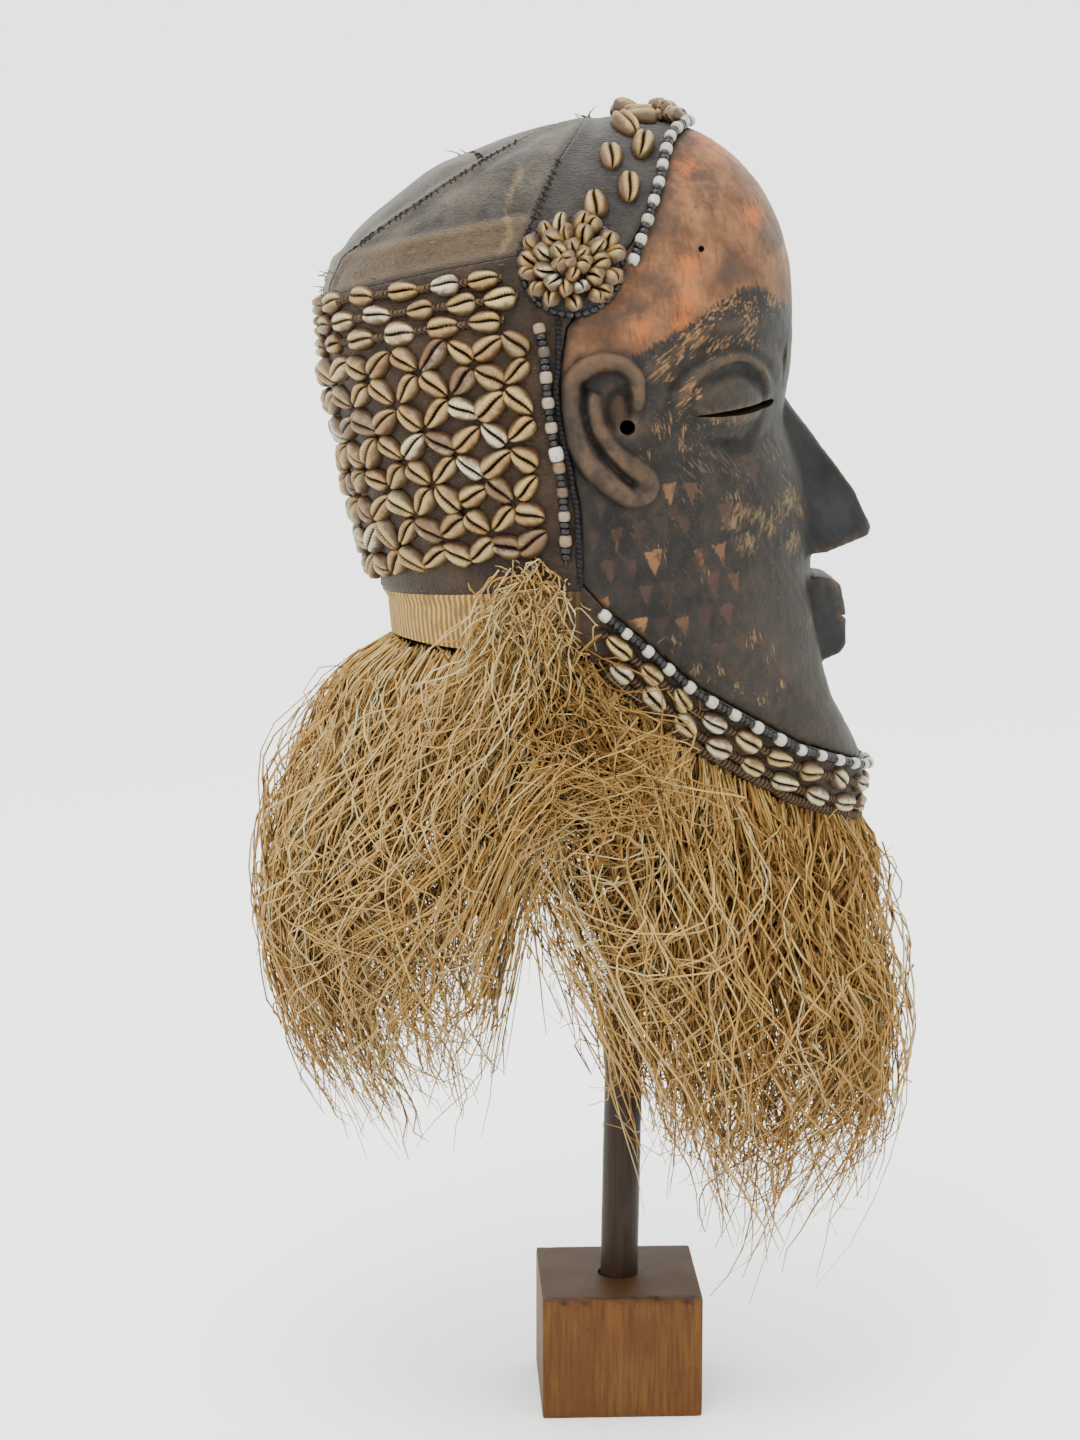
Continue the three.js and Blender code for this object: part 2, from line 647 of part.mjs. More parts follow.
function beadString(spots, { pitch, lift }) {
  const path = new THREE.CatmullRomCurve3(spots.map((spot) => lifted(spot, lift)));
  const normals = new THREE.CatmullRomCurve3(spots.map((spot) => spot.normal));
  const pairs = Math.round(path.getLength() / pitch);
  const rings = [];
  const ring = (share, half) => {
    const t = path.getUtoTmapping(share);
    const middle = path.getPoint(t);
    const up = normals.getPoint(t).normalize();
    const across = up.clone().cross(path.getTangent(t)).normalize();
    rings.push([[1, 1], [-1, 1], [-1, -1], [1, -1]].map(([a, b]) => middle.clone()
      .addScaledVector(across, a * half).addScaledVector(up, b * half)));
  };
  for (let i = 0; i < pairs; i += 1) {
    ring((i + 0.25) / pairs, lightBead);
    ring((i + 0.75) / pairs, darkBead);
  }
  return ringLoft(rings);
}

// The hairline string, from the right rosette over the top to the left one, as forward and side
const hairlineHalf = [[-1, 75], [4, 70], [9, 63], [13, 55], [16, 45], [20, 33], [27, 17]];
const hairlineTop = 31;
const hairlineSpots = [
  ...hairlineHalf.map(([forward, side]) => above(forward, -side)),
  above(hairlineTop, 0),
  ...hairlineHalf.toReversed().map(([forward, side]) => above(forward, side)),
];
addPiece('hairline_beads', beadString(hairlineSpots, { pitch: 9.6, lift: 3.3 }), looks.bead);

const sideString = [
  [-43.5, 543], [-41, 530], [-39.5, 510], [-37, 492], [-33.5, 475], [-31.5, 455], [-30.5, 432],
];
for (const [name, hand] of [['side_beads_right', -1], ['side_beads_left', 1]]) {
  const spots = sideString.map(([forward, up]) => beside(forward, up, hand));
  addPiece(name, beadString(spots, { pitch: 11.5, lift: 3.4 }), looks.bead);
}

// The chin string and the two rows of cowries below it, each at its drop below the jaw's edge.
// The ends of the links are evenly spaced along the row: a fine chain of spots is walked along,
// and the spot at each even length is kept.
const chinAxis = 30;
const chinReach = 118.5;
const chinShell = { halfWidth: 3.9, height: 5 };
const fineSteps = 240;

function chinSpots(count, drop) {
  const reach = THREE.MathUtils.degToRad(chinReach);
  const upAt = (forward) => lineHeight(jawLine, forward) - drop;
  const fine = Array.from({ length: fineSteps + 1 }, (_, i) => (
    aroundAt(chinAxis, reach * ((2 * i) / fineSteps - 1), upAt)
  ));
  const run = [0];
  for (let i = 1; i <= fineSteps; i += 1) {
    run.push(run[i - 1] + fine[i].point.distanceTo(fine[i - 1].point));
  }
  return Array.from({ length: count + 1 }, (_, i) => {
    const wanted = (run[fineSteps] * i) / count;
    return fine[run.findIndex((length) => length > wanted - 1e-6)];
  });
}

const upperCount = 19;
const lowerCount = upperCount - 1;
addPiece('chin_beads', beadString(chinSpots(20, 2.4), { pitch: 13.4, lift: 3.3 }), looks.bead);
addPiece('chin_cowries_upper', shellChain(chinSpots(upperCount, 12), chinShell), looks.shell);
addPiece('chin_cowries_lower', shellChain(chinSpots(lowerCount, 23), chinShell), looks.shell);

// Cowries on the front band, as forward and side: a row on each side, and a heap on the crown
const bandRow = [[-20, 62], [-8, 62], [-10, 48], [2, 42], [0, 30]];
const crownHeap = [[0, -24], [14, -14], [2, -6], [20, 2], [4, 8], [16, 18], [1, 24]];
const largeShell = { halfWidth: 5.2, height: 5.4 };
for (const [name, hand] of [['band_cowries_right', -1], ['band_cowries_left', 1]]) {
  const ends = bandRow.map(([forward, side]) => above(forward, hand * side));
  addPiece(name, shellChain(ends, largeShell), looks.shell);
}
const heapEnds = crownHeap.map(([forward, side]) => above(forward, side));
addPiece('crown_cowries', shellChain(heapEnds, largeShell), looks.shell);

// Rosette: a low scalloped dome of shells over the corner where the hood meets the wood
const rosetteSpot = { forward: -28, up: 569 };
const rosetteRadius = 23.5;
const rosetteHeight = 9;
const rosettePetals = 7;
const petalDip = 0.88;
const rosetteRings = [
  { share: 1, height: -8 }, { share: 1, height: 0.35 * rosetteHeight },
  { share: 0.62, height: 0.86 * rosetteHeight }, { share: 0.2, height: rosetteHeight },
];

function rosette(hand) {
  const rings = rosetteRings.map(({ share, height }) => (
    Array.from({ length: rosettePetals * 2 }, (_, i) => {
      const turn = (Math.PI * i) / rosettePetals;
      const reach = rosetteRadius * share * (i % 2 ? petalDip : 1);
      return new THREE.Vector3(reach * Math.cos(turn), reach * Math.sin(turn), height);
    })
  ));
  const spot = beside(rosetteSpot.forward, rosetteSpot.up, hand);
  const turn = new THREE.Quaternion().setFromUnitVectors(new THREE.Vector3(0, 0, 1), spot.normal);
  const dome = ringLoft(rings).applyQuaternion(turn).translate(spot.point.x, spot.point.y, spot.point.z);
  return fromManifold(toManifold(dome).subtract(headForm(-restGap, hoodAngles, hoodTurns)));
}

addPiece('rosette_right', rosette(-1), looks.shell);
addPiece('rosette_left', rosette(1), looks.shell);

// A curtain of raffia in locks, hanging from a lower edge and open inside. It hangs from just
// below the edge, and its locks stand out and in by turns and end lower where they stand out.
const curtainRows = 5;
const curtainLocks = 8;
const lockRelief = 3;
const lockTip = 12;
const rootThickness = 7;
const rootDrop = 2;
const rootInset = 1;
const rowSpread = 1.6;

function curtain({ axisForward, facing, reach, rootAt, bottom, swing, sideSwing, thickness }) {
  const { lerp } = THREE.MathUtils;
  const columns = curtainLocks * 2;
  const outer = [];
  const inner = [];
  for (let row = 0; row <= curtainRows; row += 1) {
    outer.push([]);
    inner.push([]);
    for (let column = 0; column <= columns; column += 1) {
      const azimuth = THREE.MathUtils.degToRad(reach) * ((2 * column) / columns - 1);
      const root = aroundAt(axisForward, facing + azimuth, rootAt).point;
      const tip = column % 2;
      const share = row / curtainRows;
      const up = lerp(root.z, lineHeight(bottom, Math.abs(azimuth)) - tip * lockTip, share ** rowSpread);
      const toSide = lerp(sideSwing, 1, Math.cos(azimuth / 2) ** 4);
      const swell = lineHeight(swing, root.z - up) * toSide - rootInset;
      const relief = lockRelief * (2 * tip - 1) * Math.min(1, share * 4);
      const depth = lerp(rootThickness, thickness, Math.min(1, share * 3));
      const out = root.clone().setY(root.y + axisForward).setZ(0).normalize();
      const point = root.clone().setZ(up);
      outer[row].push(point.clone().addScaledVector(out, swell + relief));
      inner[row].push(point.clone().addScaledVector(out, swell - depth));
    }
  }
  return gridSlab(outer, inner);
}

// How far the raffia stands out from its root, over the drop below it
const napeSwing = [
  [0, 0], [12, 19], [24, 30], [42, 41], [62, 51], [84, 61], [110, 67], [150, 66], [190, 59], [245, 38],
];
const beardSwing = [[0, 0], [25, 10], [50, 15], [75, 19], [100, 24], [150, 26], [200, 14]];

// The height of the raffia's lower ends, over the angle from the middle plane
const napeBottom = [
  [0, 172], [0.58, 186], [0.75, 204], [0.94, 224], [1.05, 236], [1.15, 262], [1.35, 288], [2.0, 300],
];
const beardBottom = [
  [0, 130], [0.4, 122], [0.84, 118], [1.2, 134], [1.45, 152], [1.75, 174], [1.92, 215], [2.1, 290],
];

addPiece('nape_fringe', curtain({
  axisForward: napeAxis,
  facing: Math.PI,
  reach: 98,
  rootAt: (forward) => lineHeight(neckLowerLine, forward + neckBandSlope) - rootDrop,
  bottom: napeBottom,
  swing: napeSwing,
  sideSwing: 0.4,
  thickness: 30,
}), looks.raffia);

addPiece('beard_fringe', curtain({
  axisForward: chinAxis,
  facing: 0,
  reach: 118,
  rootAt: (forward) => lineHeight(chinBandLower, forward) - rootDrop,
  bottom: beardBottom,
  swing: beardSwing,
  sideSwing: 0.4,
  thickness: 26,
}), looks.raffia);

// A bushy tuft at each side, where the nape's fringe meets the beard
const tuftSpot = { forward: -47, up: 413 };
const tuftSize = { forward: 22, side: 14, up: 25 };
const tuftOut = 4;

function tuft(hand) {
  const { point } = beside(tuftSpot.forward, tuftSpot.up, hand);
  const bush = new THREE.IcosahedronGeometry(1, 1).scale(tuftSize.side, tuftSize.forward, tuftSize.up);
  bush.translate(point.x + hand * tuftOut, point.y, point.z);
  return fromManifold(toManifold(bush).subtract(headForm(-restGap, hoodAngles, hoodTurns)));
}

addPiece('side_tuft_right', tuft(-1), looks.raffia);
addPiece('side_tuft_left', tuft(1), looks.raffia);

export default group;
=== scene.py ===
# %% [markdown]
# # A beaded helmet mask on its stand
# The object is a hollow carved face sewn to a cloth hood. Cowrie shells, strings of glass beads
# and a raffia fringe cover the seams, and a rod in a wooden block carries it. The CAD model holds
# its sizes. This lesson keeps that frame and builds the fine surface over it. All sizes below are
# in millimetres and are turned into metres when a mesh is made.

# %% The frame
import math

import bmesh
import bpy
import numpy as np
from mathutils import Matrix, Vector


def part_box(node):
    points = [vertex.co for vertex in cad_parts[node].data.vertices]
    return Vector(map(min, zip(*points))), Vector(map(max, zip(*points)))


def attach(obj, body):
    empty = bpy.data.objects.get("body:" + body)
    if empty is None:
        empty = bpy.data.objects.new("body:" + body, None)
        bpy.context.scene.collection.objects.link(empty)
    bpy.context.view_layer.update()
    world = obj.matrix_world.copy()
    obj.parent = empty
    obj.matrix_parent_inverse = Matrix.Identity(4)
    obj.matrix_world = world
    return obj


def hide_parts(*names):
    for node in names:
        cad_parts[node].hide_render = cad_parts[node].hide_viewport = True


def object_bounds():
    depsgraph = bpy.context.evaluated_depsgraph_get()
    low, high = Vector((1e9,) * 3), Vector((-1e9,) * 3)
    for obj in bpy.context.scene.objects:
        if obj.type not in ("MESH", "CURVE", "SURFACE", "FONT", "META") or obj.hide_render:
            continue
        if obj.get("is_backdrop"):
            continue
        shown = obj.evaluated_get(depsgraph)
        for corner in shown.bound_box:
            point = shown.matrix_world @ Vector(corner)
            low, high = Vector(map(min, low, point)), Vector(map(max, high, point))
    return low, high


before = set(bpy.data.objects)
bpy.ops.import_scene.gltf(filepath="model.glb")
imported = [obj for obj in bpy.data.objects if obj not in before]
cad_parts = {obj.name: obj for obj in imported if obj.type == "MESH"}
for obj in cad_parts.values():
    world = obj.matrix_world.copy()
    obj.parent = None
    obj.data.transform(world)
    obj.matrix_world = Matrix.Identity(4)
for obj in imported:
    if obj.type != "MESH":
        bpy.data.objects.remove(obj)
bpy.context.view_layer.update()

MM = 0.001

# %% [markdown]
# ## Camera and studio
# The camera stands level with the crown on the mask's right side, about one and a half metres
# away, and looks down a little. A long lens keeps the profile flat. The floor is a wide shallow
# bowl: it rises far away on every side, so no horizon line shows from any view.

# %% Camera
camera_place = Vector((-1.4957, 0.1017, 0.5966))
camera_turn = math.radians(2.38)
camera_dip = math.radians(9.48)
sight = Vector((
    math.cos(camera_turn) * math.cos(camera_dip),
    -math.sin(camera_turn) * math.cos(camera_dip),
    -math.sin(camera_dip),
))
camera = bpy.data.objects.new("camera", bpy.data.cameras.new("camera"))
camera.data.lens = 77.0
camera.location = camera_place
camera.rotation_euler = sight.to_track_quat("-Z", "Y").to_euler()
bpy.context.scene.collection.objects.link(camera)
bpy.context.scene.camera = camera
print("camera stands", round(camera_place.length, 2), "m from the origin")

# %% Mesh helpers
def make(name, points, faces):
    """A mesh object from points in millimetres."""
    mesh = bpy.data.meshes.new(name)
    mesh.from_pydata((np.asarray(points, float) * MM).tolist(), [], [list(map(int, f)) for f in faces])
    made = bpy.data.objects.new(name, mesh)
    bpy.context.scene.collection.objects.link(made)
    return made


def points_of(made):
    """The mesh points of an object, in millimetres."""
    flat = np.empty(len(made.data.vertices) * 3, np.float32)
    made.data.vertices.foreach_get("co", flat)
    return flat.reshape(-1, 3).astype(float) / MM


def move_points(made, points):
    made.data.vertices.foreach_set("co", (points * MM).astype(np.float32).ravel())
    made.data.update()


def note(made, name, values):
    """Keeps one number for each mesh point, for the finishes to read."""
    kept = made.data.attributes.new(name, "FLOAT", "POINT")
    kept.data.foreach_set("value", np.asarray(values, np.float32))


def settle(made):
    """Turns an object's modifiers into plain mesh."""
    seen = made.evaluated_get(bpy.context.evaluated_depsgraph_get())
    mesh = bpy.data.meshes.new_from_object(seen)
    made.modifiers.clear()
    made.data = mesh


def drop(*objects):
    for one in objects:
        bpy.data.objects.remove(one, do_unlink=True)


def cut(made, tool, how="DIFFERENCE"):
    """Cuts an object with another one, or joins them, and keeps the result as its mesh."""
    step = made.modifiers.new("cut", "BOOLEAN")
    step.operation = how
    step.solver = "MANIFOLD"
    step.object = tool
    settle(made)


def piece(made, finish, slot, *nodes, crease=None):
    """Dresses a mesh in its finish and ties it to the frame."""
    made.data.materials.clear()
    made.data.materials.append(finish)
    made.data.shade_smooth()
    if crease:
        made.data.set_sharp_from_angle(angle=math.radians(crease))
    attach(made, "root")
    if nodes:
        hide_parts(*nodes)
    triangles = sum(len(face.vertices) - 2 for face in made.data.polygons)
    print(f"{made.name}: {triangles} triangles")
    return made


print("helpers are ready")

# %% Studio floor and light
bowl_flat, bowl_reach, bowl_height = 2600.0, 5200.0, 4200.0
bowl_sides, bowl_rings = 96, 40


def studio_bowl():
    turn = np.linspace(0, 2 * np.pi, bowl_sides, endpoint=False)
    rise = np.linspace(0, np.pi / 2, bowl_rings)
    reach = np.concatenate([[0.001], bowl_flat + (bowl_reach - bowl_flat) * np.sin(rise)])
    height = np.concatenate([[0.0], bowl_height * (1 - np.cos(rise))])
    points = np.stack([
        reach[:, None] * np.cos(turn), reach[:, None] * np.sin(turn), height[:, None] + 0 * turn,
    ], -1).reshape(-1, 3)
    faces = []
    for ring in range(len(reach) - 1):
        for side in range(bowl_sides):
            a, b = ring * bowl_sides + side, ring * bowl_sides + (side + 1) % bowl_sides
            faces.append((a, b, b + bowl_sides, a + bowl_sides))
    return make("studio_floor", points, faces)


def soft_light(name, place, aim, size, power, colour):
    lamp = bpy.data.lights.new(name, "AREA")
    lamp.shape = "DISK"
    lamp.size = size
    lamp.energy = power
    lamp.color = colour
    made = bpy.data.objects.new(name, lamp)
    made.location = place
    made.rotation_euler = (Vector(aim) - Vector(place)).to_track_quat("-Z", "Y").to_euler()
    bpy.context.scene.collection.objects.link(made)


floor = studio_bowl()
floor.data.shade_smooth()
floor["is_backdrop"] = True
aim = (0, 0, 0.4)
soft_light("top_light", (-0.7, 0.3, 2.4), aim, 1.2, 44, (1.0, 0.985, 0.96))
soft_light("camera_side_light", (-2.0, 0.9, 1.9), aim, 1.2, 16, (1.0, 0.98, 0.95))
soft_light("back_light", (-0.6, 2.2, 1.2), aim, 1.4, 8, (0.96, 0.98, 1.0))
soft_light("far_side_light", (1.9, -1.2, 1.5), aim, 1.4, 9, (1.0, 1.0, 1.0))
world = bpy.data.worlds.new("studio_air")
bpy.context.scene.world = world
world.use_nodes = True
world.node_tree.nodes["Background"].inputs["Color"].default_value = (0.965, 0.99, 0.975, 1)
world.node_tree.nodes["Background"].inputs["Strength"].default_value = 2.85
print("studio bowl", bowl_reach * 2 * MM, "m across")

# %% [markdown]
# ## Finishes
# Each finish is a small network of nodes. A few helpers keep the networks readable: `node` adds
# one, `grain` gives noise whose blobs have a size in millimetres, `step_up` turns a range of a
# value into nought to one, and `coat` lays one colour over another through a mask.

# %% Finish helpers
def node(tree, kind, inputs=None, **settings):
    """Adds a node. An input is either a plain value or the socket that feeds it."""
    made = tree.nodes.new(kind)
    for name, value in settings.items():
        setattr(made, name, value)
    for name, value in (inputs or {}).items():
        if isinstance(value, bpy.types.NodeSocket):
            tree.links.new(value, made.inputs[name])
        else:
            made.inputs[name].default_value = value
    return made


studio_share = 0.44


def tint(red, green, blue):
    """A colour as read off a screen, made linear, and darker since this studio is bright."""
    return [*(studio_share * ((c / 255 + 0.055) / 1.055) ** 2.4 for c in (red, green, blue)), 1]


def new_finish(name, roughness, specular=0.5):
    made = bpy.data.materials.new(name)
    made.use_nodes = True
    tree = made.node_tree
    surface = tree.nodes["Principled BSDF"]
    surface.inputs["Roughness"].default_value = roughness
    surface.inputs["Specular IOR Level"].default_value = specular
    return made, tree, surface


def grain(tree, size, stretch=(1, 1, 1), detail=4.0, rough=0.6, out="Fac", shift=0.0, turn=(0, 0, 0)):
    """Noise with blobs of about this size in millimetres, turned and drawn out along its axes."""
    spot = node(tree, "ShaderNodeTexCoord").outputs["Object"]
    moved = node(tree, "ShaderNodeMapping", {
        "Vector": spot, "Scale": [size * MM * s for s in stretch],
        "Rotation": [math.radians(t) for t in turn], "Location": [shift * size * MM] * 3,
    }, vector_type="TEXTURE")
    return node(tree, "ShaderNodeTexNoise", {
        "Vector": moved.outputs[0], "Scale": 1.0, "Detail": detail, "Roughness": rough,
    }).outputs[out]


def noted(tree, name):
    return node(tree, "ShaderNodeAttribute", attribute_name=name).outputs["Fac"]


def sums(tree, how, *values):
    return node(tree, "ShaderNodeMath", dict(enumerate(values)), operation=how).outputs[0]


def step_up(tree, value, low, high):
    return node(tree, "ShaderNodeMapRange", {
        "Value": value, "From Min": low, "From Max": high, "To Min": 0.0, "To Max": 1.0,
    }, interpolation_type="SMOOTHSTEP").outputs[0]


def span(tree, value, low, high):
    """Turns a value from nought to one into a value from low to high."""
    return node(tree, "ShaderNodeMapRange", {"Value": value, "To Min": low, "To Max": high}).outputs[0]


def shades(tree, value, *stops):
    """Colours along a value: each stop is a place from 0 to 1 and a tint."""
    made = node(tree, "ShaderNodeValToRGB", {"Fac": value})
    stripe = made.color_ramp
    while len(stripe.elements) < len(stops):
        stripe.elements.new(0.5)
    for element, (place, colour) in zip(stripe.elements, stops):
        element.position = place
        element.color = tint(*colour)
    return made.outputs["Color"]


def coat(tree, under, over, mask, how="MIX"):
    """Lays a colour over another through a mask. Each colour is a socket or a tint."""
    made = node(tree, "ShaderNodeMix", {"Factor": mask}, data_type="RGBA", blend_type=how)
    for socket, colour in ((made.inputs[6], under), (made.inputs[7], over)):
        if isinstance(colour, bpy.types.NodeSocket):
            tree.links.new(colour, socket)
        else:
            socket.default_value = tint(*colour)
    return made.outputs[2]


def relief(tree, height, depth, under=None):
    """A bump of this depth in millimetres, on top of another one."""
    inputs = {"Height": height, "Distance": depth * MM, "Strength": 1.0}
    if under:
        inputs["Normal"] = under
    return node(tree, "ShaderNodeBump", inputs).outputs["Normal"]


def connect(tree, surface, **sockets):
    for name, socket in sockets.items():
        tree.links.new(socket, surface.inputs[name.replace("_", " ")])


floor_finish, tree, surface = new_finish("studio_paper", 0.8)
surface.inputs["Base Color"].default_value = (0.95, 0.965, 0.945, 1)
floor.data.materials.append(floor_finish)
print("finish helpers are ready")

# %% [markdown]
# ## Stand block
# The real block is sawn from a medium brown hardwood, with the grain upright, and oiled. A cube
# with one bevel would look machine made, so a finely divided box is rounded point by point: each
# point is held to an inner box and pushed out by a radius that changes along the edges, which
# also gives the small chips on the top front edge.

# %% Block
def wander(points, size, seed, waves=7):
    """Smooth made-up unevenness from -1 to 1, with swells of about this size in millimetres."""
    draw = np.random.default_rng(seed)
    total = np.zeros(len(points))
    for _ in range(waves):
        way = draw.normal(size=3)
        way *= 2 * np.pi / (size * draw.uniform(0.7, 1.5) * np.linalg.norm(way))
        total += np.sin(points @ way + draw.uniform(0, 2 * np.pi))
    return total / waves * 1.8


def fine_box(name, cuts):
    mesh = bmesh.new()
    bmesh.ops.create_cube(mesh, size=1)
    bmesh.ops.subdivide_edges(mesh, edges=mesh.edges[:], cuts=cuts, use_grid_fill=True)
    data = bpy.data.meshes.new(name)
    mesh.to_mesh(data)
    mesh.free()
    made = bpy.data.objects.new(name, data)
    bpy.context.scene.collection.objects.link(made)
    return made


def box_of(name):
    """A CAD node's lowest and highest corners, in millimetres."""
    return [np.array(corner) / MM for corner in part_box(name)]


def column(name, radius, low, high, sides=64):
    turn = np.linspace(0, 2 * np.pi, sides, endpoint=False)
    ring = np.stack([radius * np.cos(turn), radius * np.sin(turn)], -1)
    points = [[*spot, low] for spot in ring] + [[*spot, high] for spot in ring]
    faces = [(i, (i + 1) % sides, (i + 1) % sides + sides, i + sides) for i in range(sides)]
    return make(name, points, faces + [range(sides)[::-1], range(sides, 2 * sides)])


block_low, block_high = box_of("stand_block")
edge_radius, chip_radius = 1.0, 2.6
socket_radius, socket_floor = 10.3, 28.0
block = fine_box("stand_block_wood", 30)
half_size = (block_high - block_low) / 2
spots = points_of(block) * MM * 2 * half_size
front_top = np.clip((spots[:, 2] / half_size[2] - 0.9) / 0.1, 0, 1) * (spots[:, 0] < -0.9 * half_size[0])
chips = np.clip(wander(spots, 9, 3) - 0.1, 0, 1) * front_top + np.clip(wander(spots, 14, 4) - 0.5, 0, 1)
radius = (edge_radius + (chip_radius - edge_radius) * chips)[:, None]
held = np.clip(spots, radius - half_size, half_size - radius)
out = spots - held
spots = held + radius * out / np.maximum(np.linalg.norm(out, axis=1), 1e-6)[:, None]
spots += (block_low + block_high) / 2
move_points(block, spots)
socket = column("socket", socket_radius, socket_floor, 100.0)
cut(block, socket)
drop(socket)
print("block is", np.round(2 * half_size, 1), "mm")


# %% Block finish
def block_finish():
    made, tree, surface = new_finish("oiled_hardwood", 0.5, 0.12)
    line = grain(tree, 2.2, stretch=(1, 1, 14), detail=6)
    pore = grain(tree, 0.7, stretch=(1, 1, 5), detail=2, shift=4.0)
    cloud = grain(tree, 26, stretch=(1, 1, 2.2), detail=3, shift=2.0)
    wood = shades(tree, line, (0.3, (88, 54, 24)), (0.5, (114, 74, 34)), (0.7, (130, 88, 42)))
    wood = coat(tree, wood, (108, 66, 34), step_up(tree, cloud, 0.45, 0.7))
    wood = coat(tree, wood, (60, 36, 20), step_up(tree, pore, 0.66, 0.74))
    high = noted(tree, "top")
    wood = coat(tree, wood, (88, 56, 30), sums(tree, "MULTIPLY", high, 0.8))
    wood = coat(tree, wood, (52, 34, 28), noted(tree, "chip"))
    height = sums(tree, "ADD", line, sums(tree, "MULTIPLY", pore, -0.5))
    connect(tree, surface, Base_Color=wood, Normal=relief(tree, height, 0.25),
            Roughness=span(tree, cloud, 0.5, 0.7))
    return made


spots = points_of(block)
top = spots[:, 2] > block_high[2] - 0.3
front_edge = (spots[:, 0] < block_low[0] + 3.5) & (spots[:, 2] > block_high[2] - 3.5)
note(block, "top", top)
note(block, "chip", np.clip(wander(spots, 8, 5) + 0.4, 0, 1) * front_edge)
piece(block, block_finish(), "block_wood", "stand_block", crease=50)

# %% [markdown]
# ## Rod
# The rod is a turned dowel, stained almost black, with a soft sheen and faint dents from the
# mask being lifted on and off. It is a swept tube, so the same helper will later make the cords,
# stitches and beads' threads.

# %% Swept tubes
def unit(vectors):
    return vectors / np.maximum(np.linalg.norm(vectors, axis=-1, keepdims=True), 1e-9)


def frames_along(path, lead=None):
    """The forward, across and upward directions at each point of a path."""
    along = unit(np.gradient(path, axis=0))
    start = np.array([0.0, 0, 1]) if abs(along[0, 2]) < 0.8 else np.array([1.0, 0, 0])
    upward = []
    last = start if lead is None else lead
    for way in along:
        last = unit(last - way * (last @ way))
        upward.append(last)
    upward = np.array(upward)
    return along, np.cross(upward, along), upward


def tube(path, radius, sides=10, flat=1.0):
    """Points and faces of a closed tube along a path, flattened by flat."""
    path = np.asarray(path, float)
    radius = np.broadcast_to(radius, len(path))
    _, across, upward = frames_along(path)
    turn = np.linspace(0, 2 * np.pi, sides, endpoint=False)
    ring = np.cos(turn)[:, None, None] * across + flat * np.sin(turn)[:, None, None] * upward
    points = (path + radius[:, None] * ring).transpose(1, 0, 2).reshape(-1, 3)
    faces = []
    for row in range(len(path) - 1):
        for i in range(sides):
            a, b = row * sides + i, row * sides + (i + 1) % sides
            faces.append((a, b, b + sides, a + sides))
    last = (len(path) - 1) * sides
    return points, faces + [tuple(range(sides))[::-1], tuple(range(last, last + sides))]


def smooth_path(corners, count):
    """A smooth curve through corners, as evenly spaced points."""
    corners = np.asarray(corners, float)
    ends = np.vstack([2 * corners[0] - corners[1], corners, 2 * corners[-1] - corners[-2]])
    t = np.linspace(0, len(corners) - 1 - 1e-9, count * 6)
    i = t.astype(int)
    u = (t - i)[:, None]
    p0, p1, p2, p3 = ends[i], ends[i + 1], ends[i + 2], ends[i + 3]
    curve = 0.5 * (2 * p1 + (p2 - p0) * u + (2 * p0 - 5 * p1 + 4 * p2 - p3) * u ** 2
                   + (3 * p1 - p0 - 3 * p2 + p3) * u ** 3)
    length = np.concatenate([[0], np.cumsum(np.linalg.norm(np.diff(curve, axis=0), axis=1))])
    even = np.linspace(0, length[-1], count)
    return np.stack([np.interp(even, length, curve[:, k]) for k in range(curve.shape[1])], -1)


def bundle(name, parts):
    """One mesh from many (points, faces) parts."""
    points, faces, start = [], [], 0
    for spots, sides in parts:
        points.append(spots)
        faces += [tuple(corner + start for corner in side) for side in sides]
        start += len(spots)
    return make(name, np.vstack(points), faces)


print("tube helpers are ready")

# %% Rod
rod_radius, rod_lean = 9.5, math.radians(1.0)
rod_low, rod_high = box_of("stand_rod")
rod_up = np.linspace(rod_low[2], rod_high[2] - 3, 50)
rod_back = -(rod_up - 28.0) * math.tan(rod_lean)
rod_path = np.stack([0 * rod_up, rod_back, rod_up], -1)
rod = make("stand_rod_wood", *tube(rod_path, rod_radius, sides=44))
spots = points_of(rod)
dents = 0.12 * wander(spots, 40, 11) + 0.05 * wander(spots, 9, 12)
spots[:, :2] += dents[:, None] * unit(spots - np.stack([0 * dents, np.interp(
    spots[:, 2], rod_up, rod_back), spots[:, 2]], -1))[:, :2]
move_points(rod, spots)


def rod_finish():
    made, tree, surface = new_finish("dark_stained_dowel", 0.4, 0.14)
    line = grain(tree, 1.6, stretch=(1, 1, 30), detail=5)
    cloud = grain(tree, 30, stretch=(1, 1, 3), detail=3, shift=1.0)
    wood = shades(tree, line, (0.35, (44, 30, 20)), (0.6, (62, 42, 29)), (0.8, (82, 54, 36)))
    wood = coat(tree, wood, (70, 56, 46), step_up(tree, cloud, 0.55, 0.75))
    connect(tree, surface, Base_Color=wood, Normal=relief(tree, line, 0.1),
            Roughness=span(tree, cloud, 0.36, 0.56))
    return made


piece(rod, rod_finish(), "rod_finish", "stand_rod", crease=50)

# %% [markdown]
# ## The head form
# Face and hood share one rounded form. Its outline in the middle plane is read off the profile,
# and sideways it rounds off like a slightly squared ellipse. Writing it as one formula lets every
# shell, bead and fibre find its own place: `cast` walks out of the head along a line until it
# meets the surface.

